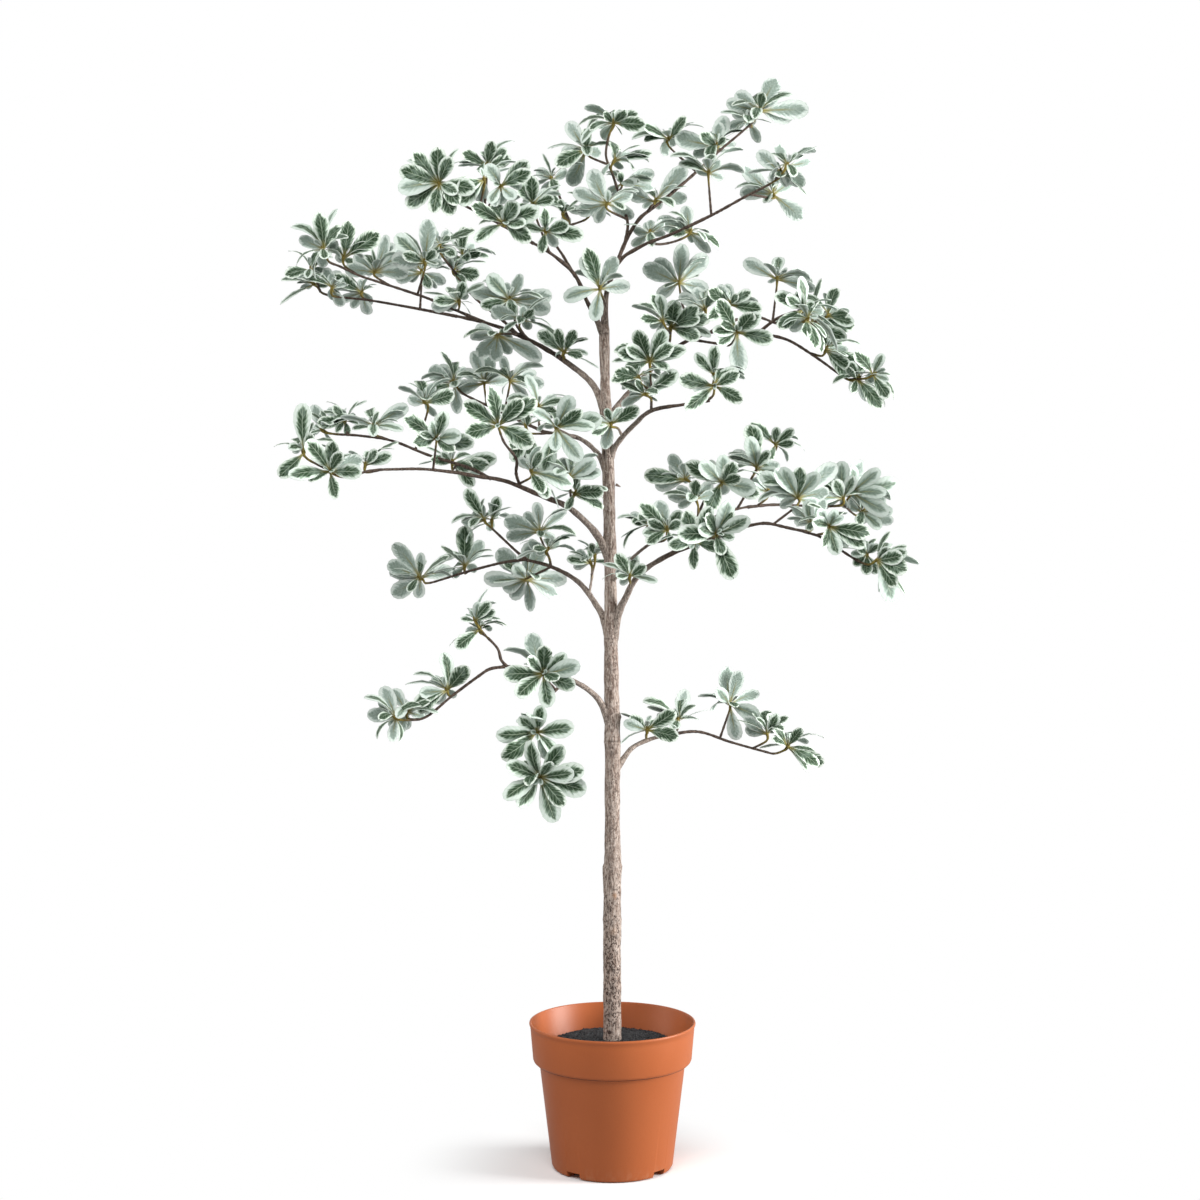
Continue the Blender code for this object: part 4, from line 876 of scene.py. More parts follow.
rosetteWays = {
    "up": (0.0, -0.22, 1.0), "front": (0.0, -1.0, 0.45), "back": (0.0, 0.85, 0.55),
    "left": (-0.85, 0.0, 0.55), "right": (0.85, 0.0, 0.55), "up_left": (-0.45, -0.1, 0.9),
    "up_right": (0.45, -0.1, 0.9), "front_right": (0.5, -0.8, 0.4), "front_down": (0.0, -1.0, 0.0),
    "up_front": (0.0, -0.6, 0.8), "back_down": (0.1, 0.9, -0.1),
}
sprayShapes = {
    "spray_left_low_outer": ("limb_left_low", [
        (-0.146, 0.693, -0.049), (-0.166, 0.690, -0.052), (-0.182, 0.680, -0.055), (-0.218, 0.653, -0.060),
        (-0.252, 0.625, -0.068), (-0.274, 0.620, -0.078)], [
        (-0.297, 0.625, -0.090, "left", 0.052, "332u78 270u77 222e72 187u65 173e60 283e30 300u55"),
        (-0.279, 0.634, -0.070, "up", 0.050, "322u67 336u33 70u40 100u56 115u45 190u53 202u72"),
        (-0.226, 0.663, -0.040, "up_left", 0.058,
         "355e88 37t77 305u45 251t77 240u65 233t75 216u44 270c60")]),
    "spray_left_low_high": ("limb_left_low", [
        (-0.143, 0.6935, -0.049), (-0.151, 0.702, -0.050), (-0.156, 0.718, -0.045),
        (-0.172, 0.735, -0.035)], [
        (-0.180, 0.747, -0.030, "up", 0.048, "241e94 234t80 250u45 300e35 75e30"),
        (-0.187, 0.758, -0.040, "up_left", 0.045, "282t42 22e105 37t76 62t68 335u30 10c60")]),
    "spray_left_low_hanging": ("limb_left_low", [
        (-0.060, 0.675, -0.030), (-0.072, 0.666, -0.075), (-0.090, 0.645, -0.110), (-0.100, 0.618, -0.125),
        (-0.100, 0.580, -0.140), (-0.099, 0.555, -0.155)], [
        (-0.099, 0.541, -0.185, "front_down", 0.066,
         "350m78 29t45 76m69 77m92 35t82 103m94 136t67 159m85 219m66 242m75 298t74"),
        (-0.103, 0.603, -0.170, "front_down", 0.062,
         "273m81 239t85 317m51 12t60 79m80 137m62 155u70 200e50"),
        (-0.094, 0.684, -0.115, "front", 0.060,
         "3t68 322m54 272t88 233m68 224e70 168m63 107t72 70c86 44m67 342u91 302e100")]),
    "spray_right_low_outer": ("limb_right_low", [
        (0.072, 0.599, 0.027), (0.116, 0.604, 0.045), (0.160, 0.590, 0.060), (0.206, 0.577, 0.070),
        (0.221, 0.574, 0.072)], [
        (0.239, 0.586, 0.075, "up_right", 0.056, "328t95 302t45 31t62 120t84 114t100 100e70 17u30 140e80"),
        (0.210, 0.603, 0.050, "up", 0.050, "306u73 277u57 327e55 21t70 60u35"),
        (0.159, 0.643, 0.110, "back", 0.056, "323c57 358u87 19u86 75u80 106c71 168u91"),
        (0.089, 0.621, 0.055, "up", 0.052, "301e110 16u80 69e85 49e60 278u54 340u30")]),
    "spray_right_low_near": ("limb_right_low", [
        (0.046, 0.592, 0.018), (0.046, 0.600, 0.012)], [
        (0.047, 0.609, 0.005, "up", 0.050, "298c66 316t65 14e40 53t94 97t81 84e80 243e80 270u40")]),
    "spray_left_arch_outer": ("limb_left_arch", [
        (-0.120, 0.839, 0.110), (-0.152, 0.834, 0.140), (-0.198, 0.822, 0.170), (-0.248, 0.807, 0.195)], [
        (-0.262, 0.815, 0.205, "left", 0.056,
         "321u108 293u92 275u83 238u87 189u55 355u61 57e110 52e90 77u76 305u70 258u60"),
        (-0.200, 0.831, 0.180, "up", 0.050, "1e120 336u45 35u85 58e91 261e87 231u43")]),
    "spray_left_arch_high": ("limb_left_arch", [
        (-0.114, 0.837, 0.105), (-0.130, 0.850, 0.115), (-0.146, 0.865, 0.130), (-0.164, 0.882, 0.145)], [
        (-0.174, 0.894, 0.155, "up_left", 0.050, "331t100 347e47 0e60 263u65 300u40"),
        (-0.163, 0.893, 0.165, "up", 0.046, "16t83 230e100 35u40")]),
    "spray_left_arch_middle": ("limb_left_arch", [
        (-0.083, 0.829, 0.078), (-0.086, 0.842, 0.085)], [
        (-0.087, 0.854, 0.090, "up_right", 0.048, "255e90 290u60 64e90 92e82 58u40 20u35"),
        (-0.098, 0.878, 0.125, "back", 0.054, "288u100 353u73 54u86 259u89 122u46 320u60"),
        (-0.116, 0.812, 0.140, "back_down", 0.058,
         "271u100 313u100 244u63 218u66 178u78 119u89 92u96 26u88 5u87 324c48 60u60")]),
    "spray_left_arch_near": ("limb_left_arch", [
        (-0.032, 0.790, 0.030), (-0.028, 0.815, 0.035)], [
        (-0.031, 0.836, 0.040, "up_left", 0.042, "285t80 310u60 250u55 340e60"),
        (-0.024, 0.846, 0.020, "up", 0.040, "20u60 340t50 60e70")]),
    "spray_right_long_outer": ("limb_right_long", [
        (0.180, 0.884, -0.089), (0.206, 0.888, -0.100), (0.232, 0.883, -0.112), (0.268, 0.874, -0.125),
        (0.287, 0.866, -0.132), (0.325, 0.841, -0.140), (0.345, 0.832, -0.145)], [
        (0.360, 0.840, -0.150, "right", 0.060,
         "28t36 24e69 69t65 73t49 107t62 145t63 141e96 161c90 122e50 175e70"),
        (0.344, 0.849, -0.125, "up", 0.046, "17c35 42t42 305t42 235t50 186t52 156t57 330c50 270c45"),
        (0.294, 0.887, -0.150, "up_right", 0.056,
         "9c42 55c35 204t48 165c63 119t93 101t91 134u70 290c45 320c50"),
        (0.268, 0.890, -0.105, "up", 0.046, "308u65 351c70 33u77 94e52 54u45 280u45"),
        (0.250, 0.925, -0.075, "up", 0.060,
         "333c78 303c100 283u55 2t70 35c69 50u116 84u70 113u56 240u40 318c85")]),
    "spray_right_long_front": ("limb_right_long", [
        (0.105, 0.856, -0.060), (0.112, 0.858, -0.085), (0.128, 0.866, -0.120)], [
        (0.140, 0.874, -0.160, "front", 0.064,
         "17c74 272t78 58c70 97c36 159t89 163t38 330t48 252e60 35t55 295c40"),
        (0.111, 0.862, -0.130, "front_down", 0.046, "24t108 344t98 181t70 272e98 100t77 265t75")]),
    "spray_right_long_near": ("limb_right_long", [
        (0.022, 0.800, -0.018), (0.024, 0.806, -0.040)], [
        (0.023, 0.817, -0.058, "up_front", 0.048, "332t78 6u53 22u62 50t58 265e75 231u33 300u35")]),
    "spray_right_back_outer": ("limb_right_long", [
        (0.183, 0.910, 0.083), (0.216, 0.913, 0.110), (0.250, 0.912, 0.135), (0.280, 0.911, 0.150),
        (0.308, 0.913, 0.165)], [
        (0.324, 0.932, 0.180, "up_right", 0.062, "302u30 23u73 48c77 76c102 118c90 308u53 90c70 355c60"),
        (0.311, 0.924, 0.150, "up", 0.056, "279e95 272c85 255u70 310u54 333t57 357c91 20c60"),
        (0.338, 0.905, 0.195, "right", 0.056, "62u70 111u89 294u43 20u35 90c75 130c60"),
        (0.209, 0.934, 0.090, "up", 0.050, "306u50 0e45 108u70 75c75 335c60 285c60")]),
    "spray_right_back_high": ("limb_right_long", [
        (0.168, 0.907, 0.072), (0.178, 0.925, 0.095), (0.187, 0.948, 0.115)], [
        (0.194, 0.966, 0.125, "up", 0.062, "343c74 351e96 304u59 83u55 126c73 39t43 110c60"),
        (0.219, 0.997, 0.160, "up", 0.042, "311t105 2t57 48t80 102e98 205t50 144e67 80t60")]),
    "spray_right_back_left": ("limb_right_long", [
        (0.112, 0.878, 0.006), (0.118, 0.905, 0.020), (0.128, 0.925, 0.035)], [
        (0.147, 0.945, 0.050, "up_front", 0.058,
         "0c67 25t59 312c72 299t92 326u55 107t92 118e100 66t46 209t69 279e35 98c75"),
        (0.110, 0.923, 0.010, "up_left", 0.048, "2t57 271u74 297u55 50u64 76u55 245u50"),
        (0.098, 0.948, 0.075, "left", 0.050, "277t116 258u86 309u60 325u84 5u45")]),
    "spray_right_short": ("trunk", [
        (-0.003, 0.806, 0.000), (0.014, 0.827, -0.020), (0.030, 0.844, -0.045), (0.051, 0.860, -0.075),
        (0.070, 0.865, -0.100)], [
        (0.074, 0.882, -0.112, "up", 0.052,
         "314t96 343u75 32t59 53t40 297t56 282e80 239t60 158t35 75u35 265c60"),
        (0.044, 0.888, -0.085, "left", 0.040, "283t50 244e90 224e110 184t37 320t45 300u60")]),
    "spray_left_long_outer": ("limb_left_long", [
        (-0.206, 0.956, -0.126), (-0.253, 0.961, -0.150), (-0.289, 0.961, -0.165), (-0.327, 0.959, -0.180),
        (-0.358, 0.950, -0.192)], [
        (-0.381, 0.959, -0.215, "front", 0.060,
         "265t82 243t42 326t80 10t65 34t53 89t70 70u65 161t55 113e40"),
        (-0.417, 0.986, -0.200, "up_left", 0.050, "281e75 0e126 17e78 340u50 226t84 30t55 60t50"),
        (-0.333, 0.969, -0.160, "up", 0.044, "310e65 55e114 68t87 40t60"),
        (-0.238, 1.003, -0.185, "front", 0.058, "305t80 263t45 18t64 92t83 121t50 290t35 80c60 350c40")]),
    "spray_left_long_inner": ("limb_left_long", [
        (-0.164, 0.948, -0.102), (-0.194, 0.963, -0.090), (-0.248, 0.980, -0.075), (-0.296, 0.999, -0.060),
        (-0.339, 1.006, -0.048), (-0.370, 1.008, -0.040)], [
        (-0.391, 1.014, -0.035, "left", 0.052, "351e52 321e60 261e35 278u50 335u70"),
        (-0.360, 1.029, -0.020, "up", 0.050, "325t50 34e64 285e70 267t65 107e55 215t36 160t40 300u60"),
        (-0.322, 1.021, -0.080, "up", 0.048, "58u110 26t46 78e68 90u53 284u48 266e60 65e95"),
        (-0.254, 1.052, -0.040, "up_left", 0.056, "321e62 288u45 72t75 47e80 20u50 340u45"),
        (-0.216, 0.972, -0.060, "up", 0.050, "283t52 100t55 84t120 92t98 136t79 104u80 320c40")]),
    "spray_left_long_high": ("limb_left_long", [
        (-0.124, 0.936, -0.076), (-0.130, 0.955, -0.085), (-0.130, 0.975, -0.098), (-0.146, 0.997, -0.120)], [
        (-0.154, 1.021, -0.155, "front", 0.062, "349t83 304t83 258t65 55t96 43t75 40e40 117t81 68e40"),
        (-0.110, 0.960, -0.100, "up_front", 0.052, "311u45 30t60 20e65 145t80 143e110 108c110 150t60")]),
    "spray_left_long_near": ("limb_left_long", [
        (-0.060, 0.909, -0.036), (-0.056, 0.920, -0.045)], [
        (-0.050, 0.930, -0.050, "up_right", 0.050, "84t78 117t83 308c79 214t45 100e75 60t50"),
        (-0.058, 0.952, -0.075, "up", 0.050, "80c83 340u53 36u53 53c86 300u50")]),
    "spray_left_upper_outer": ("limb_left_upper", [
        (-0.094, 1.012, 0.082), (-0.131, 1.029, 0.115), (-0.165, 1.045, 0.145), (-0.200, 1.062, 0.175)], [
        (-0.214, 1.080, 0.190, "up_left", 0.056, "5u42 337e82 296u71 262e75 246t78 179u77 36u46 315u60"),
        (-0.172, 1.078, 0.165, "back", 0.056, "337u83 8u68 260u77 84u61 301u65 53u49"),
        (-0.138, 1.081, 0.145, "back", 0.056, "337u63 52u59 110e62 141u60 95u86 208e35 75u65"),
        (-0.100, 1.047, 0.090, "up", 0.052, "339c88 60u53 75t70 100t50")]),
    "spray_left_upper_front": ("limb_left_upper", [
        (-0.050, 1.004, 0.040), (-0.060, 1.008, 0.010), (-0.068, 1.012, -0.030)], [
        (-0.076, 1.018, -0.075, "front", 0.062, "306c60 25c73 53t67 90c77 77c100 142c87 182c46 196c96"),
        (-0.117, 1.020, -0.020, "up_left", 0.056, "12t30 182e97 200t85 165t85 215t60 240e50")]),
    "spray_right_upper_outer": ("limb_right_upper", [
        (0.125, 1.052, -0.112), (0.135, 1.060, -0.125)], [
        (0.137, 1.074, -0.140, "front", 0.056, "285t84 234t85 266u49 117t70 79e43 61t60"),
        (0.136, 1.089, -0.115, "up_front", 0.050, "3t77 321t74 79e82 82t60")]),
    "spray_right_upper_high": ("limb_right_upper", [
        (0.052, 1.039, -0.054), (0.052, 1.056, -0.060), (0.051, 1.083, -0.065)], [
        (0.050, 1.108, -0.070, "up", 0.056, "23t82 56t62 71t90 114t43 287t80 302t66 263t58 338t78"),
        (0.034, 1.086, -0.090, "up_left", 0.048, "264t73 286t67 313t51 100u25 250u45 275e70"),
        (0.041, 1.063, -0.080, "left", 0.044, "294t77 327t54 264u46 241u75 55t114 19u62 67u57")]),
    "spray_right_upper_near": ("limb_right_upper", [
        (0.013, 1.005, -0.014), (0.007, 1.016, -0.030)], [
        (-0.002, 1.024, -0.045, "up_front", 0.046, "345t46 36u55 59t95 283c80 246t60 193u72 265c65")]),
    "spray_right_top_outer": ("limb_right_top", [
        (0.202, 1.142, 0.009), (0.224, 1.138, 0.003), (0.244, 1.130, -0.005), (0.278, 1.108, -0.015),
        (0.300, 1.092, -0.022), (0.315, 1.082, -0.028)], [
        (0.331, 1.084, -0.035, "right", 0.052, "333t47 208t37 148u68 142t92 135e97 320t40"),
        (0.352, 1.090, -0.045, "right", 0.050, "22c58 134e35 140e89 159e81 319t80 110c40 150t70"),
        (0.287, 1.124, -0.005, "up_right", 0.056,
         "2e50 311e72 327e40 139t88 136e100 115t108 96u55 125t70")]),
    "spray_right_top_end": ("limb_right_top", [
        (0.196, 1.143, 0.010), (0.204, 1.151, 0.006), (0.222, 1.164, -0.004), (0.244, 1.172, -0.020)], [
        (0.258, 1.178, -0.035, "up_right", 0.056,
         "348c72 337t44 293t78 303t56 235t78 141e130 60t25 100u50 120e80"),
        (0.262, 1.163, -0.065, "front_right", 0.056, "239u43 167t70 187t40 132e60 155e85 255e60")]),
    "spray_right_top_back": ("limb_right_top", [
        (0.130, 1.144, 0.020), (0.150, 1.156, 0.050), (0.172, 1.163, 0.075), (0.195, 1.165, 0.095),
        (0.222, 1.156, 0.110), (0.250, 1.152, 0.115)], [
        (0.268, 1.158, 0.118, "up_right", 0.058, "10u66 12e110 111t87 134t99 161t45 92t102 75u60"),
        (0.220, 1.218, 0.160, "up", 0.054, "301u96 3u42 75u76 105u104 95u90 49u40"),
        (0.290, 1.168, 0.090, "right", 0.052, "283t27 352e62 53u35 107t66 83t50 20e75")]),
    "spray_right_top_front": ("limb_right_top", [
        (0.106, 1.135, 0.020), (0.138, 1.130, -0.025), (0.157, 1.128, -0.055)], [
        (0.167, 1.146, -0.105, "front", 0.062, "328t80 293t40 270t51 37t50 103t73 172u85 51t59 240t50"),
        (0.158, 1.184, -0.060, "up", 0.052, "303t68 57t60 330u56 349u55 35t30 239t68 98t74")]),
    "spray_right_top_left": ("limb_right_top", [
        (0.074, 1.115, 0.018), (0.077, 1.135, 0.005)], [
        (0.078, 1.153, -0.010, "up_front", 0.056, "6t64 52t82 73t70 77t98 109t69 101e97 340t40"),
        (0.066, 1.162, -0.045, "up_left", 0.050, "297e92 277t60 247u35 353c67 335t77")]),
    "spray_right_top_rear": ("limb_right_top", [
        (0.117, 1.139, 0.020), (0.108, 1.156, 0.060), (0.094, 1.180, 0.100)], [
        (0.089, 1.212, 0.130, "back", 0.060, "6u93 46u95 314u75 296u91 101u68 239u57"),
        (0.124, 1.177, 0.055, "up", 0.048, "340u70 20t60 300u80 270u50")]),
    "spray_top_left_outer": ("limb_top_left", [
        (-0.209, 1.166, 0.148), (-0.250, 1.174, 0.165), (-0.288, 1.181, 0.178), (-0.330, 1.188, 0.190),
        (-0.368, 1.192, 0.200), (-0.389, 1.197, 0.205)], [
        (-0.402, 1.210, 0.210, "left", 0.052, "241e110 68u75 95t40 260u30 275e45"),
        (-0.404, 1.230, 0.180, "up_left", 0.052, "259t68 7e46 336e30 45e70 20e55 250u50"),
        (-0.376, 1.205, 0.170, "up", 0.048, "334u64 153u54 31u40 60u60 355u45"),
        (-0.336, 1.199, 0.215, "back", 0.054, "284u95 306t78 246u69 349u36 167u59 63e43 215u50"),
        (-0.256, 1.227, 0.185, "up", 0.056, "278u70 259u71 242u40 84e66 118u60 140u50")]),
    "spray_top_left_middle": ("limb_top_left", [
        (-0.167, 1.156, 0.122), (-0.205, 1.172, 0.100), (-0.245, 1.189, 0.080), (-0.280, 1.201, 0.060),
        (-0.314, 1.212, 0.040), (-0.341, 1.221, 0.025), (-0.364, 1.232, 0.010), (-0.380, 1.239, 0.000)], [
        (-0.388, 1.258, -0.010, "up_left", 0.056, "354t88 18e98 294u65 240e77 45t65 118e45 194e70 214e55"),
        (-0.360, 1.246, 0.030, "up", 0.052, "9t93 55t116 53e70 72e71 115t30 310e42"),
        (-0.318, 1.226, 0.080, "back", 0.054, "14u100 308u73 278u76 73u80 93u80 31u88 352e60 52u90"),
        (-0.252, 1.240, 0.040, "up", 0.056, "5u104 314c96 295t52 327e84 95u40 45t40 275u80"),
        (-0.206, 1.188, 0.060, "up_front", 0.054, "270t60 258u71 100e35 15t52 330u40")]),
    "spray_top_left_upper": ("limb_top_left", [
        (-0.128, 1.142, 0.096), (-0.148, 1.161, 0.115), (-0.183, 1.189, 0.150), (-0.204, 1.214, 0.170)], [
        (-0.213, 1.229, 0.185, "up", 0.052, "101t71 135t50 350c35 277e45 30u40"),
        (-0.200, 1.247, 0.215, "up_right", 0.052, "330e88 4e80 72t53 89e73 38u46 257t42"),
        (-0.231, 1.262, 0.150, "up", 0.056, "50t35 23u45 120t45 290e35 330u50 200u40")]),
    "spray_top_left_near": ("limb_top_left", [
        (-0.112, 1.134, 0.082), (-0.128, 1.152, 0.080), (-0.134, 1.172, 0.085)], [
        (-0.138, 1.190, 0.095, "up", 0.056, "285u100 320c77 17u66 83u105 102u100 256t70 228u60 340u45"),
        (-0.120, 1.164, 0.045, "up_right", 0.048, "290u90 104e83 117e120 8u40 49t45 238e60"),
        (-0.154, 1.141, 0.050, "back_down", 0.052, "190u70 221u74 261u70 151u57 120u135 287u60")]),
    "spray_top_left_stub": ("limb_top_left", [
        (-0.066, 1.107, 0.044), (-0.065, 1.112, 0.036)], [
        (-0.064, 1.120, 0.030, "up_right", 0.040, "309t107 346t84 26t82 60e95 114e127 101t60")]),
    "spray_crown_left_outer": ("limb_crown_left", [
        (-0.106, 1.263, -0.083), (-0.144, 1.285, -0.105), (-0.184, 1.306, -0.125), (-0.208, 1.318, -0.135),
        (-0.226, 1.325, -0.140)], [
        (-0.233, 1.345, -0.150, "up_left", 0.060,
         "0t72 30e81 27t60 100t78 136t65 117t45 190t64 262c85 235t80 290t85 320t80 155t70"),
        (-0.172, 1.349, -0.140, "up_front", 0.054, "263t58 238e85 224t78 340u20 250t65"),
        (-0.168, 1.368, -0.100, "up", 0.050, "15t64 298t67 271e75 54t68 78t67"),
        (-0.146, 1.291, -0.175, "front", 0.062, "298t71 71t75 36t50 0e28 234t69 120t68 96t45 268e50"),
        (-0.150, 1.340, -0.185, "front", 0.056, "328c56 66t73 51t82 209c45 132c45")]),
    "spray_crown_left_near": ("limb_crown_left", [
        (-0.084, 1.250, -0.069), (-0.090, 1.264, -0.085)], [
        (-0.090, 1.280, -0.140, "front", 0.058, "357t52 282t49 75t52 98t84 187t48"),
        (-0.106, 1.317, -0.100, "up_front", 0.056, "358t64 323t55 77t49 70e66 36u50 253t38")]),
    "spray_crown_left_inner": ("limb_crown_left", [
        (-0.050, 1.219, -0.042), (-0.066, 1.246, -0.020), (-0.077, 1.266, -0.005), (-0.062, 1.281, 0.010),
        (-0.058, 1.292, 0.018)], [
        (-0.066, 1.305, 0.025, "up", 0.046, "347t40 322t68 48e60 68t35"),
        (-0.082, 1.350, 0.060, "up_left", 0.056, "339e63 305u46 296e48 15e30 223u40 60u40"),
        (-0.030, 1.306, 0.045, "up_right", 0.048, "285u60 70u50 20u40 100e60")]),
    "spray_leader_top": ("leader", [
        (0.078, 1.329, 0.060), (0.104, 1.351, 0.075), (0.139, 1.383, 0.090), (0.169, 1.408, 0.100),
        (0.188, 1.425, 0.108)], [
        (0.197, 1.441, 0.115, "up_right", 0.054, "286u82 310u78 27u92 9t40 54u67 88u127 100u86"),
        (0.180, 1.428, 0.122, "up_left", 0.050, "255u54 5u30 229e43 154u65 300u50"),
        (0.139, 1.394, 0.116, "up", 0.052, "284u115 252u62 5u66 13u87 45t28 306t55 83u50"),
        (0.075, 1.403, 0.125, "up", 0.056, "272e93 295t72 38t67 80e30 270e60")]),
    "spray_leader_peak": ("leader", [
        (0.017, 1.265, 0.018), (0.020, 1.290, 0.030), (0.012, 1.317, 0.040), (0.000, 1.354, 0.045),
        (-0.009, 1.379, 0.045), (-0.005, 1.406, 0.042)], [
        (0.001, 1.425, 0.040, "up", 0.054, "310t32 71t60 95t77 221u44 254e61 143e35 238e94 45t40"),
        (-0.037, 1.389, 0.070, "up_left", 0.056,
         "328u82 358t47 272u61 274e85 240t79 205u87 28e107 95u35 10e25"),
        (0.003, 1.374, 0.010, "up_right", 0.052, "78e100 90e90 15u30 60u50"),
        (0.012, 1.344, 0.100, "back", 0.054, "96u85 72u84 340t25 88t45 235u40"),
        (-0.007, 1.318, 0.000, "up_front", 0.058, "335u88 294u83 256u68 118u67 65u62 0c30")]),
    "spray_leader_inner": ("leader", [
        (0.046, 1.305, 0.043), (0.052, 1.313, 0.030)], [
        (0.058, 1.321, 0.058, "up_right", 0.052, "40u120 293u71 81u85 275e35")]),
    "spray_leader_front": ("leader", [
        (-0.0095, 1.183, 0.000), (-0.014, 1.193, -0.020)], [
        (-0.017, 1.205, -0.035, "up_front", 0.050, "254c100 189c85 330c96 342t116 25u97 85u82")]),
    "spray_leader_right": ("leader", [
        (0.098, 1.284, -0.056), (0.137, 1.303, -0.075), (0.177, 1.325, -0.090), (0.212, 1.343, -0.100)], [
        (0.224, 1.360, -0.105, "up", 0.050, "316u78 303u40 132e93 125u57 95u40"),
        (0.233, 1.368, -0.135, "up_right", 0.054, "347u56 76u63 39e40 136u62"),
        (0.214, 1.329, -0.030, "back", 0.056, "317u98 277u73 126u91 56u64"),
        (0.128, 1.359, -0.060, "up", 0.058, "306e75 289e71 40u40 88e81 105u35")]),
    "spray_leader_under": ("leader", [
        (0.048, 1.264, -0.021), (0.064, 1.262, 0.000), (0.084, 1.266, 0.015)], [
        (0.104, 1.280, 0.030, "up_right", 0.050, "354u76 296u92 268t54 135u72 118e89 320u50"),
        (0.050, 1.279, 0.004, "up", 0.046, "4u38 50u55 84e84 282u46 235u61 337u35")]),
}

sprayMake = {
    "twigSpacing": 0.0030, "twigResolution": 3, "twigRadius": 0.00155, "knots": 0.12,
    "stems": {"trunk": 0.0034, "long": 0.0024, "short": 0.0020}, "twigTaper": (1.2, 0.9), "forkBack": 4,
    "setback": 0.012, "stemShare": 0.6, "headSwell": 0.0013, "headLength": 0.007, "young": (0.010, 0.030),
    "widen": (0.83, 1.04), "seat": 0.003, "stalk": 0.0008, "budSize": 0.0021, "budSeat": 0.001,
    "lean": 7, "tuck": 0.62, "leanJitter": 7, "sizeJitter": 0.04, "tilt": 0.22,
    "deepLeaves": 3, "deepSize": (0.58, 0.84), "deepLean": (46, 80), "deepLooks": (0.0, -0.3, 1.0),
    "thinLeaves": 2, "thinTurn": (48, 102), "thinSize": (0.66, 0.96), "thinDepth": 0.35,
    "thinLooks": (0.0, -0.1, 1.0), "thinFacing": -0.7,
    "youngLeaves": 2, "youngSize": (0.22, 0.34), "youngSpread": (16, 38), "youngOutward": 0.2,
}
upperHabits = ["leafArched", "leafArched", "leafTwisted", "leafWavy", "leafFlat"]
underHabits = ["leafArched", "leafFlat", "leafTwisted", "leafWavy", "leafCupped"]
edgeHabits = ["leafArched", "leafDrooping", "leafDrooping", "leafFlat"]
leafShows = {  # where the upper side looks, which way the leaf leans, its roll in degrees, tones and habits
    "t": ((0.0, -1.0, 0.22), 1, 12, (0.08, 0.60), upperHabits),
    "m": ((0.0, -1.0, 0.22), 1, 12, (0.46, 0.74), upperHabits),
    "c": ((0.0, -1.0, 0.22), 1, 12, (0.70, 0.97), upperHabits),
    "u": ((0.0, 1.0, 0.22), -1, 12, (0.15, 0.90), underHabits),
    "e": ((0.0, -0.12, 1.0), 0, 15, (0.10, 0.80), edgeHabits),
}


def growTwig(name, places, thick, thin, chance):
    # A thin stem that ends in a swollen head, olive where it is young.
    given = sprayMake
    route = smoothRoute(places, given["twigSpacing"])
    left = [0.0]
    for before, after in zip(route[::-1], route[-2::-1]):
        left.append(left[-1] + (after - before).length)
    left.reverse()
    length = max(left[0], 0.001)  # never nothing, as it is divided by
    radii = []
    for distance in left:
        radius = thinned(thick, thin, 1 - distance / length)
        radius += given["headSwell"] * math.exp(-((distance / given["headLength"]) ** 2))
        radii.append(radius * (1 + given["knots"] * chance.uniform(-1, 1)))
    twig = woodTube(name, route, radii, given["twigResolution"])
    young = []
    for vertex in twig.data.vertices:
        young.append(1.0 - easeStep(*given["young"], left[nearestStep(route, vertex.co)]))
    paint(twig, "young", young)
    twig.data.materials.append(twigBark)
    return smoothAll(twig)


def growLeaf(chance, shows, origin, direction, facing, length):
    roll, tones, habits = leafShows[shows][2:]
    model = leafModels[chance.choice(habits)]
    along = direction.normalized()
    across = along.cross(facing).normalized()
    widen = length * chance.uniform(*sprayMake["widen"])
    turn = Matrix((across * widen, along * length, across.cross(along) * length)).transposed().to_4x4()
    rolled = Matrix.Rotation(math.radians(chance.gauss(0, roll)), 4, "Y")
    leaf = copyOf(model, Matrix.Translation(origin) @ turn @ rolled)
    paintEvenly(leaf, "leafTone", chance.uniform(*tones))
    return leaf


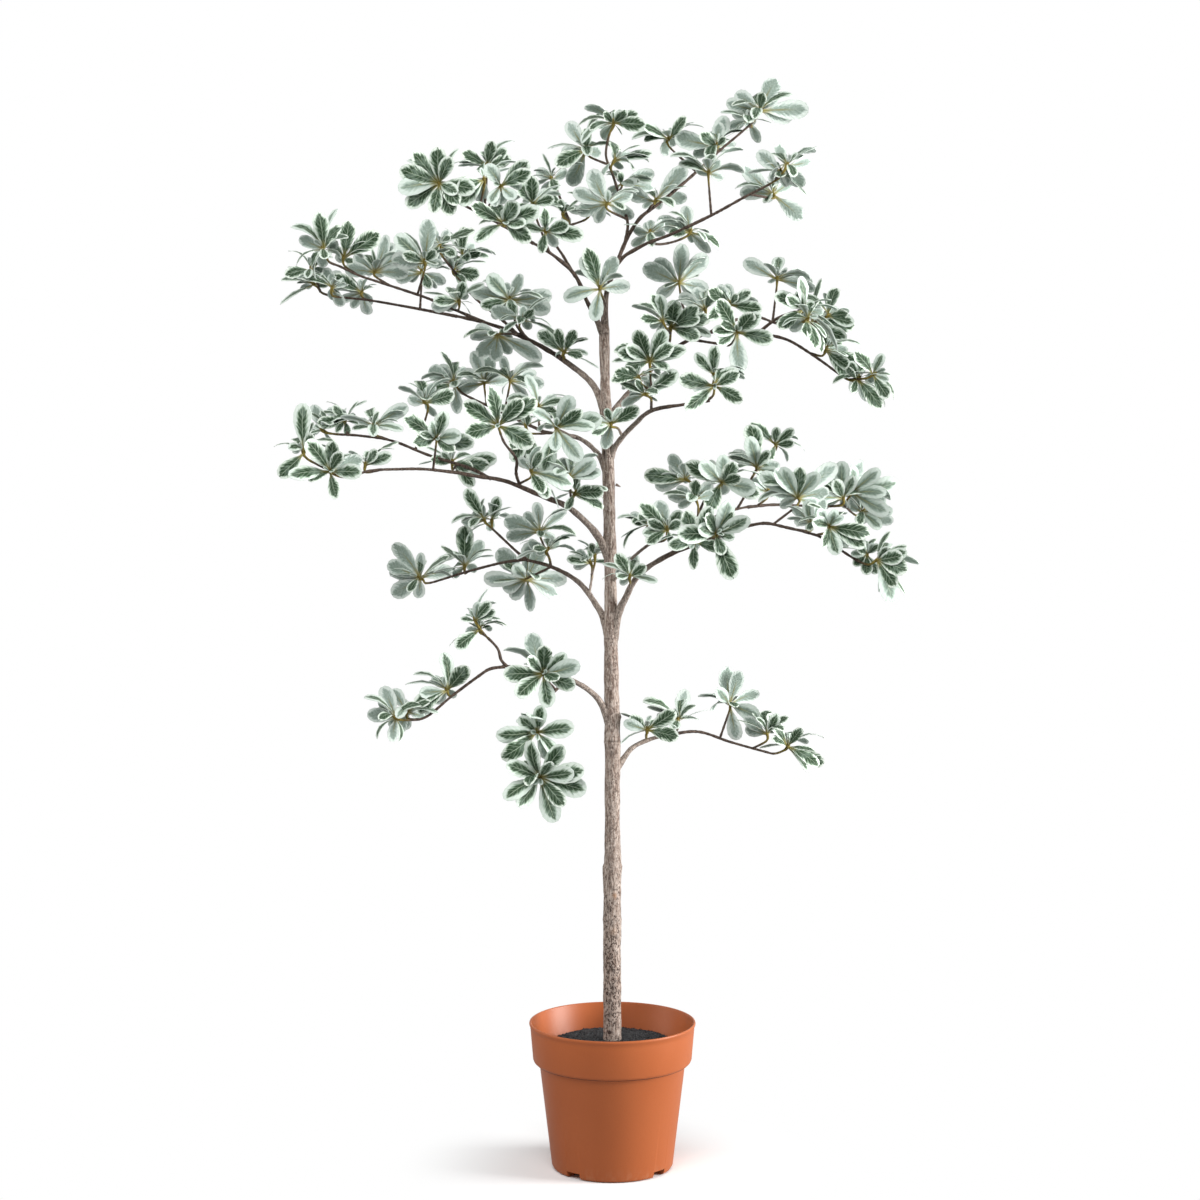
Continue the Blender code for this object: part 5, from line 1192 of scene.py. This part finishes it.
def growRosette(chance, thinChance, hub, facing, reach, leaves):
    given = sprayMake
    grown = []
    shown = []
    for word in leaves.split():
        shows = next(letter for letter in word if letter in leafShows)
        clock, size = (float(part) for part in word.split(shows))
        size *= 0.01 * (1 + spread(chance, given["sizeJitter"]))
        looks, side = leafShows[shows][:2]
        # A leaf that looks short from the front leans out of the front plane.
        lean = side * (given["lean"] + given["tuck"] * math.degrees(math.acos(min(size, 1.0))))
        lean = math.radians(lean + spread(chance, given["leanJitter"]))
        direction = compass(math.radians(clock), lean)
        tilted = Vector(looks) + Vector([spread(chance, given["tilt"]) for axis in range(3)])
        origin = hub - facing * given["seat"] + direction * given["stalk"]
        grown.append(growLeaf(chance, shows, origin, direction, tilted, reach * size / math.cos(lean)))
        shown.append(shows)
    fromBehind = shown.count("t") + shown.count("c") < len(shown) / 2
    for number in range(given["deepLeaves"] + fromBehind):
        # Leaves that point away from the front or straight at it, to fill the rosette out.
        lean = math.radians(chance.uniform(*given["deepLean"])) * (-1 if number < given["deepLeaves"] else 1)
        direction = compass(chance.uniform(0, math.tau), lean)
        length = reach * chance.uniform(*given["deepSize"])
        grown.append(growLeaf(chance, "e", hub, direction, Vector(given["deepLooks"]), length))
    for number in range(given["thinLeaves"] if facing.y > given["thinFacing"] else 0):
        # Leaves that spread to the sides, seen along their blades, where the rosette doesn't face the front.
        turn = math.radians(thinChance.uniform(*given["thinTurn"])) * thinChance.choice((-1, 1))
        direction = Vector((math.sin(turn), spread(thinChance, given["thinDepth"]), math.cos(turn)))
        length = reach * thinChance.uniform(*given["thinSize"])
        grown.append(growLeaf(thinChance, "e", hub, direction, Vector(given["thinLooks"]), length))
    side = facing.orthogonal().normalized()
    ahead = facing.cross(side)
    for number in range(given["youngLeaves"]):
        turn = chance.uniform(0, math.tau)
        opened = math.radians(chance.uniform(*given["youngSpread"]))
        level = side * math.cos(turn) + ahead * math.sin(turn)
        direction = facing * math.cos(opened) + level * math.sin(opened)
        length = reach * chance.uniform(*given["youngSize"])
        grown.append(growLeaf(chance, "c", hub, direction, facing - level * given["youngOutward"], length))
    size = given["budSize"]
    turn = Matrix((side * size, ahead * size, facing * size)).transposed().to_4x4()
    grown.append(copyOf(budModel, Matrix.Translation(hub + facing * given["budSeat"]) @ turn))
    return grown


def buildSpray(node):
    given = sprayMake
    carrier, places, rows = sprayShapes[node]
    chance, thinChance = random.Random(node), random.Random(node + "Thin")
    rosettes = [(seenSpot(*row[:3]), Vector(rosetteWays[row[3]]).normalized(), *row[4:]) for row in rows]
    stem = [seenSpot(*place) for place in places]
    hub, facing = rosettes[0][:2]
    thick = given["stems"]["trunk" if carrier == "trunk" else "long" if len(places) > 3 else "short"]
    route = stem + [hub - facing * given["setback"] * given["stemShare"], hub]
    parts = [growTwig(node + "Stem", route, thick, given["twigRadius"], chance)]
    line = smoothRoute(stem + [hub], given["twigSpacing"])
    thick, thin = (given["twigRadius"] * share for share in given["twigTaper"])
    for hub, facing in (rosette[:2] for rosette in rosettes[1:]):
        foot = hub - facing * given["setback"]
        start = line[max(nearestStep(line, foot) - given["forkBack"], 0)]
        parts.append(growTwig(node + "Twig", [start, foot, hub], thick, thin, chance))
    for rosette in rosettes:
        parts += growRosette(chance, thinChance, *rosette)
    finishPiece(joinAll(pieceName(node), parts), "variegated_foliage", node)
    return len(rosettes)


rosetteCount = sum(buildSpray(node) for node in sprayShapes)
for model in list(leafModels.values()) + [budModel]:
    bpy.data.objects.remove(model, do_unlink=True)
print("sprays made:", len(sprayShapes), "with", rosetteCount, "rosettes")


# ---- pot

potShape = {
    "profile": [  # radius and height, from the middle of the underside round to the middle of the floor
        (0.0, 0.0), (0.046, 0.0), (0.046, 0.008), (0.068, 0.008), (0.068, 0.0), (0.0785, 0.0),
        (0.0815, 0.0012), (0.0835, 0.005), (0.0998, 0.143), (0.1012, 0.1455), (0.1062, 0.1478),
        (0.1078, 0.1492), (0.1090, 0.152), (0.1124, 0.1925), (0.1129, 0.1980), (0.1140, 0.1994),
        (0.1142, 0.2010), (0.1138, 0.2024), (0.1128, 0.2030), (0.1117, 0.2026), (0.1110, 0.2012),
        (0.1064, 0.152), (0.1052, 0.1500), (0.0990, 0.1470), (0.0972, 0.143), (0.0818, 0.0106),
        (0.0434, 0.0106), (0.0434, 0.0026), (0.0, 0.0026),
    ],
    "steps": 120, "edge": 0.0005,
    "notches": 4, "notchSize": (0.024, 0.0225, 0.0180), "notchTurn": -40, "notchMiddle": 0.07575,
    "drainHoles": 6, "drainTurn": 30, "drainRadius": 0.004, "drainDepth": 0.012, "drainMiddle": 0.057,
    "drainHeight": 0.0093,
}
potLook = {
    "clay": (0.390, 0.098, 0.026), "pale": (0.445, 0.124, 0.038), "clouding": 0.35,
    "deep": (0.30, 0.070, 0.017), "dust": (0.50, 0.26, 0.15), "dustBelow": 0.024, "dusting": 0.22,
    "detail": 3.0, "cloudSize": (9.0, 9.0, 6.0), "cloudStep": (0.30, 0.70), "grain": 1100.0,
    "grainStep": (0.45, 0.75, 0.0, 0.30), "moulding": (6.0, 6.0, 240.0), "mouldingRise": 0.6,
    "scuffSize": (160.0, 160.0, 60.0), "scuffStep": (0.46, 0.70), "roughness": 0.36,
    "cloudRough": 0.10, "grainRough": 0.08, "shine": 0.30, "bump": (0.10, 0.0004),
}


def potMaterial():
    look = potLook
    material, tree, shader = newMaterial("terracottaPlastic", look)
    place = objectPlace(tree)
    cloud = cloudy(tree, scaled(tree, place, look["cloudSize"]), 1.0, look["detail"])
    cloud = softStep(tree, cloud, *look["cloudStep"])
    grain = cloudy(tree, place, look["grain"], 2.0)
    moulding = cloudy(tree, scaled(tree, place, look["moulding"]), 1.0, 2.0)
    colour = blendColours(tree, times(tree, cloud, look["clouding"]), look["clay"], look["pale"])
    colour = blendColours(tree, softStep(tree, grain, *look["grainStep"]), colour, look["deep"])
    low = softFall(tree, alongAxes(tree, place)[2], 0.0, look["dustBelow"])
    scuff = cloudy(tree, scaled(tree, place, look["scuffSize"]), 1.0, look["detail"])
    dust = times(tree, times(tree, low, softStep(tree, scuff, *look["scuffStep"])), look["dusting"])
    colour = blendColours(tree, dust, colour, look["dust"])
    rough = timesPlus(tree, grain, look["grainRough"], look["roughness"])
    tree.links.new(timesPlus(tree, cloud, look["cloudRough"], rough), shader.inputs["Roughness"])
    dress(tree, shader, colour, timesPlus(tree, moulding, look["mouldingRise"], grain), *look["bump"])
    return material


def aroundPot(degrees, middle, height):
    turn = math.radians(degrees)
    place = (math.cos(turn) * middle, math.sin(turn) * middle, height)
    return {"rotation": (0.0, 0.0, turn), "location": place}


def buildPot():
    given = potShape
    pot = turned("potShell", [(radius, 0.0, height) for radius, height in given["profile"]], given["steps"])
    cutters = []
    for notch in range(given["notches"]):
        letGo()
        turn = given["notchTurn"] + notch * 360 / given["notches"]
        bpy.ops.mesh.primitive_cube_add(size=1.0, **aroundPot(turn, given["notchMiddle"], 0.0))
        bpy.context.object.scale = given["notchSize"]
        cutters.append(settle(bpy.context.object))
    for hole in range(given["drainHoles"]):
        letGo()
        turn = given["drainTurn"] + hole * 360 / given["drainHoles"]
        spot = aroundPot(turn, given["drainMiddle"], given["drainHeight"])
        bpy.ops.mesh.primitive_cylinder_add(vertices=24, radius=given["drainRadius"],
                                            depth=given["drainDepth"], **spot)
        cutters.append(bpy.context.object)
    cutter = settle(joinAll("potCutter", cutters))
    modified(pot, "BOOLEAN", operation="DIFFERENCE", object=cutter)
    bpy.data.objects.remove(cutter, do_unlink=True)
    modified(pot, "BEVEL", width=given["edge"], segments=2, limit_method="ANGLE",
             angle_limit=math.radians(40))
    pot.data.materials.clear()
    pot.data.materials.append(potMaterial())
    finishPiece(smoothFaces(pot, 35), "terracotta_plastic", "pot")


buildPot()
print("pot made")


# ---- soil: a heaped top with crumbs pressed into it

soilShape = {
    "edgeRadius": 0.1066, "edgeHeight": 0.1570, "heap": 0.0210, "squareness": 5.5, "skirt": 0.010,
    "skirtInward": 0.0012, "rings": 46, "steps": 150,
    "bumps": ((95.0, 0.0014, (0.0, 0.0, 0.0)), (340.0, 0.0011, (7.0, 3.0, 0.0))), "bumpsEase": (1.02, 8.0),
    "crumbs": 1500, "crumbSize": (0.0005, 0.0014), "smallCrumbs": 2.2, "crumbDents": (1.7, 0.55),
    "crumbLong": (0.8, 1.7), "crumbTall": (0.5, 0.9), "crumbSit": 0.25, "keepOff": 0.0135, "keepIn": 0.94,
}
soilLook = {
    "dark": (0.0035, 0.0038, 0.0048), "mid": (0.0125, 0.0125, 0.0145), "pale": (0.175, 0.180, 0.190),
    "bark": (0.036, 0.027, 0.023), "layers": (("bark", 0.6, "bark"), ("fleck", 0.7, "pale")),
    "cloudSteps": {  # size, detail, roughness and the two ends of the step
        "clods": (170.0, 3.0, 0.6, 0.36, 0.64), "bark": (260.0, 2.0, 0.5, 0.60, 0.70),
        "fleck": (760.0, 1.0, 0.5, 0.65, 0.70),
    },
    "grit": 900.0, "roughness": 0.90, "shine": 0.5, "bump": (0.8, 0.0012),
}


def soilMaterial():
    look = soilLook
    material, tree, shader = newMaterial("pottingMix", look)
    place = objectPlace(tree)
    masks = {name: softStep(tree, cloudy(tree, place, *row[:3]), *row[3:])
             for name, row in look["cloudSteps"].items()}
    colour = layered(tree, look, masks, blendColours(tree, masks["clods"], look["dark"], look["mid"]))
    height = maths(tree, "ADD", masks["clods"], speckled(tree, place, look["grit"]))
    dress(tree, shader, colour, height, *look["bump"])
    return material


def soilTop(x, y):
    given = soilShape
    reach = math.hypot(x, y) / given["edgeRadius"]
    dome = given["edgeHeight"] + given["heap"] * (1 - min(reach, 1.0) ** given["squareness"])
    place = Vector((x, y, 0.0))
    bumps = 0.0
    for size, height, shift in given["bumps"]:
        bumps += noise.noise(place * size + Vector(shift)) * height
    end, ease = given["bumpsEase"]
    return dome + bumps * min(1.0, (end - reach) * ease)


def growCrumb(model, chance):
    given = soilShape
    edge = given["edgeRadius"]
    reach = math.sqrt(chance.uniform((given["keepOff"] / edge) ** 2, given["keepIn"])) * edge
    turn = chance.uniform(0, math.tau)
    x, y = reach * math.cos(turn), reach * math.sin(turn)
    small, large = given["crumbSize"]
    size = small + (large - small) * chance.random() ** given["smallCrumbs"]
    angle = chance.uniform(0, math.tau)
    spin = Matrix.Rotation(angle, 4, Vector([chance.gauss(0, 1) for axis in range(3)]))
    long = chance.uniform(*given["crumbLong"])
    stretch = Matrix.Diagonal((size * long, size, size * chance.uniform(*given["crumbTall"]), 1.0))
    sit = Matrix.Translation((x, y, soilTop(x, y) + size * given["crumbSit"]))
    return copyOf(model, sit @ spin @ stretch)


def buildSoil():
    given = soilShape
    mix = soilMaterial()
    edge, height, rings = given["edgeRadius"], given["edgeHeight"], given["rings"]
    low = height - given["skirt"]
    line = [(edge * step / rings, 0.0, height) for step in range(rings + 1)]
    line += [(edge - given["skirtInward"], 0.0, low), (0.0, 0.0, low)]
    soil = turned("soilTop", line, given["steps"])
    for vertex in soil.data.vertices:
        if vertex.co.z > height - 0.0001:  # all but the skirt
            vertex.co.z = soilTop(vertex.co.x, vertex.co.y)
    letGo()
    bpy.ops.mesh.primitive_ico_sphere_add(subdivisions=1, radius=1.0)
    crumbModel = bpy.context.object
    crumbModel.name = "crumb"
    dentSize, dent = given["crumbDents"]
    for vertex in crumbModel.data.vertices:
        vertex.co *= 1.0 + dent * noise.noise(vertex.co * dentSize)
    for obj in (soil, crumbModel):
        obj.data.materials.append(mix)
    chance = random.Random(5)
    crumbs = [growCrumb(crumbModel, chance) for number in range(given["crumbs"])]
    bpy.data.objects.remove(crumbModel, do_unlink=True)
    finishPiece(smoothFaces(joinAll("soilMix", [soil] + crumbs), 50), "potting_soil", "soil")


buildSoil()
print("soil made")


# ---- floor, light and camera

stageLook = {
    "floor": 0.92, "floorBounce": 0.50, "floorSize": 16.0, "floorHeight": -0.0004, "roughness": 0.9,
    "shine": 0.0, "shadowReach": (0.11, 0.30), "worldLight": 0.30, "worldSeen": 1.0,
}
lampPlaces = {  # place, size, power and the point looked at
    "rightLamp": ((3.6, -0.55, 1.20), 1.7, 242.0, (0.0, 0.0, 0.56)),
    "leftLamp": ((-3.7, -0.5, 1.9), 2.0, 46.0, (0.0, 0.0, 0.75)),
    "topLamp": ((-0.5, -2.4, 3.1), 2.2, 80.0, (0.0, 0.0, 0.7)),
}
cameraPlace = {"place": viewEye, "pitch": 90 - 5.42, "lens": 84.0, "sensor": 36.0}


def buildFloor():
    look = stageLook
    letGo()
    bpy.ops.mesh.primitive_plane_add(size=look["floorSize"], location=(0.0, 0.0, look["floorHeight"]))
    floor = settle(bpy.context.object)
    floor.name = "floor"
    material, tree, shader = newMaterial("floorWhite", look)
    # Away from the pot the floor is plain white to the eye, so that it has no far edge.
    white = tree.nodes.new("ShaderNodeEmission")
    white.inputs["Strength"].default_value = 1.0
    seen = tree.nodes.new("ShaderNodeLightPath").outputs["Is Camera Ray"]
    pale = timesPlus(tree, seen, look["floor"] - look["floorBounce"], look["floorBounce"])
    tree.links.new(pale, shader.inputs["Base Color"])
    outward = tree.nodes.new("ShaderNodeVectorMath")
    outward.operation = "LENGTH"
    tree.links.new(objectPlace(tree), outward.inputs[0])
    away = softStep(tree, outward.outputs["Value"], *look["shadowReach"])
    mixShaders(tree, times(tree, seen, away), shader, white, tree.nodes["Material Output"])
    floor.data.materials.append(material)


def buildWorld():
    world = bpy.data.worlds.new("studio")
    bpy.context.scene.world = world
    world.use_nodes = True
    tree = world.node_tree
    light, white = tree.nodes["Background"], tree.nodes.new("ShaderNodeBackground")
    for background, strength in ((light, stageLook["worldLight"]), (white, stageLook["worldSeen"])):
        background.inputs["Color"].default_value = (1.0, 1.0, 1.0, 1.0)
        background.inputs["Strength"].default_value = strength
    path = tree.nodes.new("ShaderNodeLightPath")
    seen = path.outputs["Is Camera Ray"]
    for ray in ("Is Glossy Ray", "Is Transmission Ray"):
        seen = maths(tree, "MAXIMUM", seen, path.outputs[ray])
    mixShaders(tree, seen, light, white, tree.nodes["World Output"])


def buildLamps():
    for name, (place, size, power, target) in lampPlaces.items():
        lamp = bpy.data.lights.new(name, "AREA")
        lamp.shape = "SQUARE"
        lamp.size = size
        lamp.energy = power
        obj = newObject(name, lamp)
        obj.location = place
        obj.rotation_euler = (Vector(target) - Vector(place)).to_track_quat("-Z", "Y").to_euler()


def buildCamera():
    camera = bpy.data.cameras.new("frontCamera")
    camera.lens = cameraPlace["lens"]
    camera.sensor_width = cameraPlace["sensor"]
    obj = newObject("frontCamera", camera)
    obj.location = cameraPlace["place"]
    obj.rotation_euler = (math.radians(cameraPlace["pitch"]), 0.0, 0.0)
    bpy.context.scene.camera = obj


buildFloor()
buildWorld()
buildLamps()
buildCamera()
bpy.context.scene.view_settings.view_transform = "Standard"
letGo()
print("stage set")
